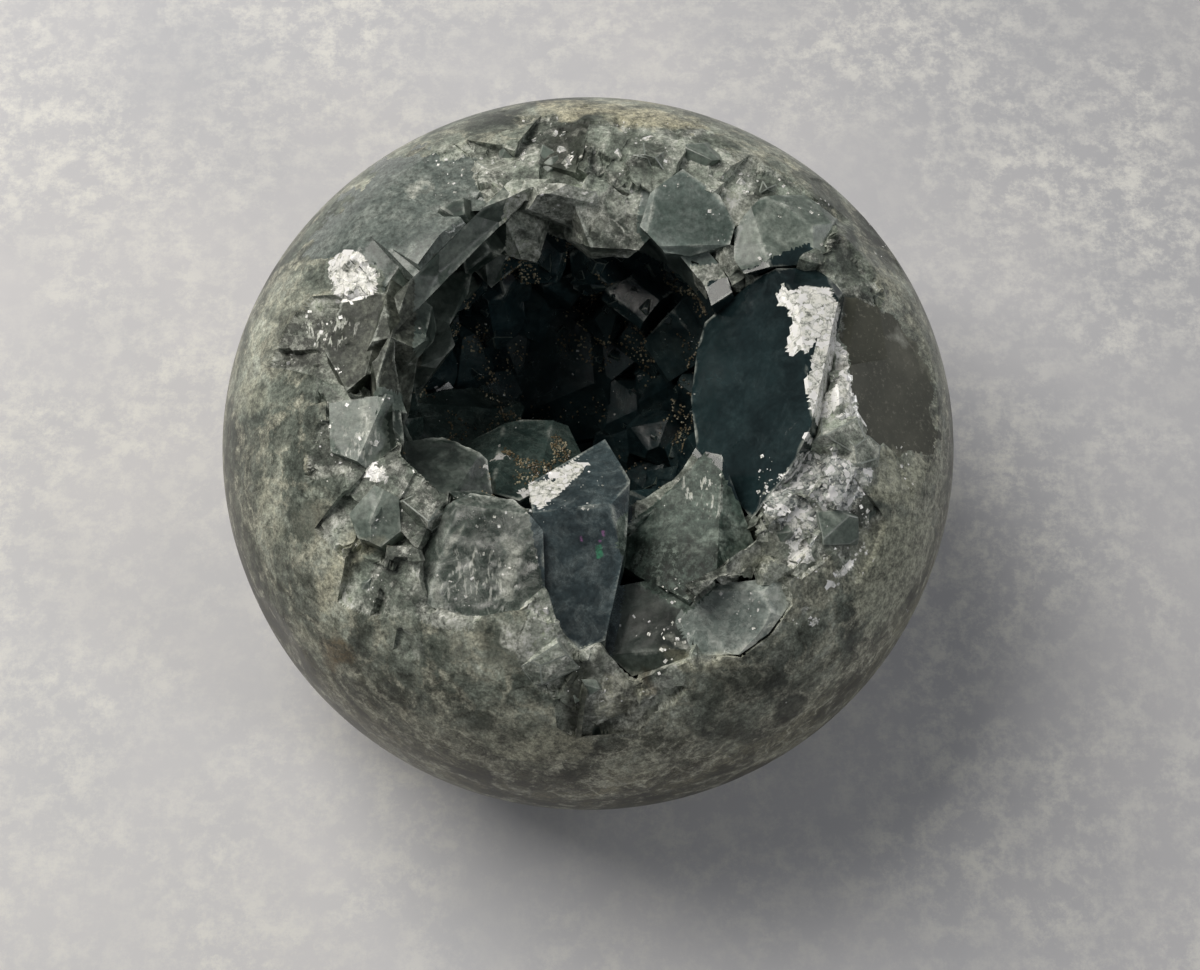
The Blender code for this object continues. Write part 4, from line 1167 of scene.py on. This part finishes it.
def rim_seats(tree, crust_tree, count, rng):
    """Random places on the broken rim, seen from above."""
    bare = (GROUND_FLAT, CLEAR_SLAB, CRINKLED_BREAK, *CLEAVAGE_WITH_PAINTED_REFLECTIONS.values())
    for _ in range(count):
        turn = rng.uniform(0, 2 * math.pi)
        reach = rng.uniform(24, 42) * MM
        start = MOUTH_MIDDLE + Vector((math.cos(turn) * reach, math.sin(turn) * reach, 0.1))
        place, normal, _index, _distance = tree.ray_cast(start, Vector((0, 0, -1)))
        if place is None or skin_depth(place) < 0.5 * MM or crust_tree.find_nearest(place)[3] < 2.5 * MM:
            continue
        spot = in_photo(place)
        if any(inside_outline(spot, outline) for outline in bare):
            continue
        yield place, normal


def through_photo(spot):
    """The way the camera looks through a spot of the photograph."""
    across = (spot[0] - PHOTO_MIDDLE[0]) / PHOTO_FOCUS
    up = (PHOTO_MIDDLE[1] - spot[1]) / PHOTO_FOCUS
    return (Vector((across, 0.0, 0.0)) + CAMERA_UP * up - CAMERA_BACK).normalized()


# Where the photograph glitters: left, top, right and bottom in its pixels, and how many flakes.
# The white flakes set there are painted glints.
GLITTER = {
    "crinkled_break": (758, 456, 868, 534, 170),
    "right_flank": (790, 520, 935, 630, 130),
    "left_round_crystal": (300, 400, 384, 470, 60),
    "left_crystal": (262, 306, 345, 380, 60),
    "upper_left_crystal": (330, 252, 374, 300, 40),
    "clear_crystal": (430, 495, 548, 615, 45),
    "top": (430, 115, 700, 210, 170),
    "back_right": (700, 140, 890, 260, 110),
    "front": (470, 615, 700, 705, 90),
    "roof_of_the_centre_crystal": (519, 456, 606, 512, 50),
    "wedge": (664, 468, 740, 525, 6),
    "lens": (660, 575, 780, 650, 50),
    "lower_left": (355, 490, 420, 610, 50),
    "right_edge": (850, 440, 950, 520, 40),
    "left_flank": (250, 470, 340, 640, 50),
    "front_low": (560, 690, 900, 790, 60),
    "hollow": (380, 300, 700, 480, 40),
}


def glitter_seats(trees, rng):
    """Places that the camera sees in the glittering regions, thick in some spots and thin in others."""
    for left, top, right, bottom, count in GLITTER.values():
        for _ in range(count * 2):
            way = through_photo((rng.uniform(left, right), rng.uniform(top, bottom)))
            hits = [tree.ray_cast(CAMERA_PLACE, way) for tree in trees]
            hits = [hit for hit in hits if hit[0] is not None]
            if not hits:
                continue
            place, normal, _index, _distance = min(hits, key=lambda hit: hit[3])
            if noise.noise(place / (3.5 * MM)) > 0.0:
                yield place, normal


def add_flakes(name, seats, material, sizes, rng):
    """Tiny cleavage flakes, thin plates that lie almost flat on the stone; their white stands in as painted
    glints.
    """
    bm = bmesh.new()
    for place, normal in seats:
        size = sizes[0] + (sizes[1] - sizes[0]) * rng.random() ** 3
        lean = (normal + Vector([rng.uniform(-0.25, 0.25) for _ in range(3)])).normalized()
        turn = turned(lean, rng)
        shape = Matrix.Diagonal((size, size * rng.uniform(0.3, 1.0), size * 0.25, 1.0))
        bmesh.ops.create_cube(bm, size=1.0, matrix=Matrix.Translation(place) @ turn @ shape)
    for vert in bm.verts:
        if form_reach(vert.co) > 0.9995:
            vert.co = onto_form(vert.co) * 0.9998 + FORM_MIDDLE * 0.0002
    thing = make_object(name)
    thing.data.materials.append(material)
    finish_object(thing, bm, smooth=False)


def add_grains(name, seats, material, sizes, rng, spread):
    """Tiny grains dusted in patches."""
    bm = bmesh.new()
    for place, normal in seats:
        if noise.noise(place / (6 * MM)) < spread:
            continue
        size = rng.uniform(*sizes)
        turn = Matrix.Rotation(rng.uniform(0, FULL_TURN), 4, normal)
        bmesh.ops.create_icosphere(bm, subdivisions=1, radius=size,
                                   matrix=Matrix.Translation(place + normal * size * 0.2) @ turn)
    thing = make_object(name)
    thing.data.materials.append(material)
    finish_object(thing, bm, smooth=False)


def add_stage():
    """A pale mottled paper surface, with painted shade towards the right and the back and a painted pool of
    light towards the front left, and a dim room.
    """
    bm = bmesh.new()
    bmesh.ops.create_grid(bm, x_segments=2, y_segments=2, size=FLOOR_SIZE / 2)
    floor = make_object("floor")
    bm.to_mesh(floor.data)
    bm.free()
    material, tree, shader = new_material("pale_mottled_paper_painted_light_and_shade")
    place = node(tree, "TexCoord", {}, "Object")
    broad = node(tree, "TexNoise", {
        "Vector": place, "Scale": per_mm(70.0), "Detail": 5.0, "Roughness": 0.6,
    })
    mottle = node(tree, "TexNoise", {
        "Vector": place, "Scale": per_mm(5.0), "Detail": 12.0, "Roughness": 0.78,
    })
    where = node(tree, "TexNoise", {
        "Vector": place, "Scale": per_mm(45.0), "Detail": 4.0, "Roughness": 0.6,
    })
    tone = node(tree, "ValToRGB", {"Fac": broad}, stops=[(0.35, "#c6c8ce"), (0.65, "#d6d6da")])
    east = node(tree, "SeparateXYZ", {"Vector": place}, "X")
    north = node(tree, "SeparateXYZ", {"Vector": place}, "Y")
    # Painted shade: the paper darkens towards the right and the back.
    sideways = node(tree, "Math", {
        0: node(tree, "Math", {0: east, 1: 1.6}, operation="MULTIPLY"),
        1: node(tree, "Math", {0: north, 1: 0.5}, operation="MULTIPLY"),
    }, operation="ADD")
    corner = node(tree, "Math", {0: sideways, 1: 0.04}, operation="SUBTRACT")
    tone = node(tree, "Mix", {
        FACTOR: node(tree, "Math", {0: corner, 1: 2.2}, operation="MULTIPLY", use_clamp=True),
        UNDER: tone, OVER: colour("#a9abb0"),
    }, MIXED, data_type="RGBA")
    # Painted light: the paper brightens towards the front left.
    painted_light_near_front_left = node(tree, "Math", {
        0: east, 1: node(tree, "Math", {0: north, 1: 1.3}, operation="MULTIPLY"),
    }, operation="ADD")
    tone = node(tree, "Mix", {
        FACTOR: node(tree, "Math", {0: painted_light_near_front_left, 1: -1.6}, operation="MULTIPLY", use_clamp=True),
        UNDER: tone, OVER: colour("#f0f0f0"),
    }, MIXED, data_type="RGBA")
    white = node(tree, "Math", {
        0: node(tree, "ValToRGB", {"Fac": mottle}, stops=[(0.46, 0.0), (0.60, 0.9)]),
        1: node(tree, "ValToRGB", {"Fac": where}, stops=[(0.35, 0.15), (0.6, 1.0)]),
    }, operation="MULTIPLY")
    tone = node(tree, "Mix", {
        FACTOR: white, UNDER: tone, OVER: colour("#ecece8"),
    }, MIXED, data_type="RGBA")
    fill_sockets(tree, shader, {"Base Color": tone, "Roughness": 0.6})
    floor.data.materials.append(material)
    world = bpy.data.worlds.new("soft_room")
    bpy.context.scene.world = world
    world.use_nodes = True
    fill_sockets(world.node_tree, world.node_tree.nodes["Background"], {
        "Color": colour("#d4d6da"), "Strength": 0.16,
    })


def add_light(name, place_mm, aim_mm, size_mm, watts, shade="#ffffff"):
    """A soft rectangular lamp that shines at a point."""
    lamp = bpy.data.lights.new(name, "AREA")
    lamp.shape = "RECTANGLE"
    lamp.size = size_mm[0] * MM
    lamp.size_y = size_mm[1] * MM
    lamp.energy = watts
    lamp.color = colour(shade)[:3]
    thing = bpy.data.objects.new(name, lamp)
    bpy.context.scene.collection.objects.link(thing)
    thing.location = Vector(place_mm) * MM
    thing.rotation_euler = (Vector(place_mm) - Vector(aim_mm)).to_track_quat("Z", "Y").to_euler()


def add_camera():
    """The photograph's camera."""
    lens = bpy.data.cameras.new("camera")
    camera = bpy.data.objects.new("camera", lens)
    bpy.context.scene.collection.objects.link(camera)
    camera.location = CAMERA_PLACE
    camera.rotation_euler = CAMERA_BACK.to_track_quat("Z", "Y").to_euler()
    lens.sensor_width = 36.0
    lens.lens = lens.sensor_width / 2 / math.tan(CAMERA_FIELD / 2)
    lens.clip_start = 0.01
    bpy.context.scene.camera = camera


add_stage()
add_light("window", (-350, 250, 600), (0, 0, 30), (520, 520), 4.7, "#fffaf2")
add_light("lamp_right", (534, 216, 180), (34, -3, 68), (90, 90), 0.30)
add_light("lamp_front_right", (420, -260, 430), (30, -23, 65), (110, 110), 0.36)
add_camera()
bpy.context.scene.view_settings.view_transform = "Standard"

crust_tree = dress_crust()
wall_tree = dress_wall(crust_tree)
worn_edge = crystal("celestine_worn_edge", "#7f8a84", "#a2aba4", "#c8cdc6", 0.3, "#c0d0cc", 10.0, 0.3)
rng = random.Random(DRUSE_SEED)
deep_seats = [seat for seat in hollow_seats(crust_tree, 500, rng, -1.2, 0.6)
              if zone_finish(seat[0]) == "hollow" and noise.noise(seat[0] / (8 * MM)) > 0.1]
add_small_crystals("small_crystals", deep_seats, CRUST_MATERIALS["hollow"], CRUST_MATERIALS["green"],
                   (0.8 * MM, 3.0 * MM), rng)
rim_places = list(rim_seats(wall_tree, crust_tree, 160, rng))
add_small_crystals("rim_crystals", rim_places[::2], CRUST_MATERIALS["round"], worn_edge,
                   (2.5 * MM, 7.0 * MM), rng)
add_small_crystals("rim_fragments", rim_places[1::2], CRUST_MATERIALS["rim"], worn_edge,
                   (2.5 * MM, 7.0 * MM), rng)
# Pale cleavage flakes on the rim; their white is partly painted glints.
flake_places = [seat for seat in rim_seats(wall_tree, crust_tree, 900, rng)
                if noise.noise(seat[0] / (5 * MM)) > 0.05]
add_small_crystals("cleavage_flakes_and_painted_glints", flake_places, CRUST_MATERIALS["cleavage"], worn_edge,
                   (0.5 * MM, 1.9 * MM), rng)
add_flakes("glittering_flakes", glitter_seats((wall_tree, crust_tree), rng), CRUST_MATERIALS["cleavage"],
           (0.12 * MM, 0.6 * MM), rng)
dusty_places = [seat for seat in hollow_seats(crust_tree, 12000, rng, -1.2, 0.7)
                if zone_finish(seat[0]) in ("hollow", "deep", "shadow")]
add_grains("iron_stained_grains", dusty_places,
           druse_grain("iron_stained_druse", "#40382a", "#86785c", "#d8d0b4"),
           (0.07 * MM, 0.23 * MM), rng, 0.13)
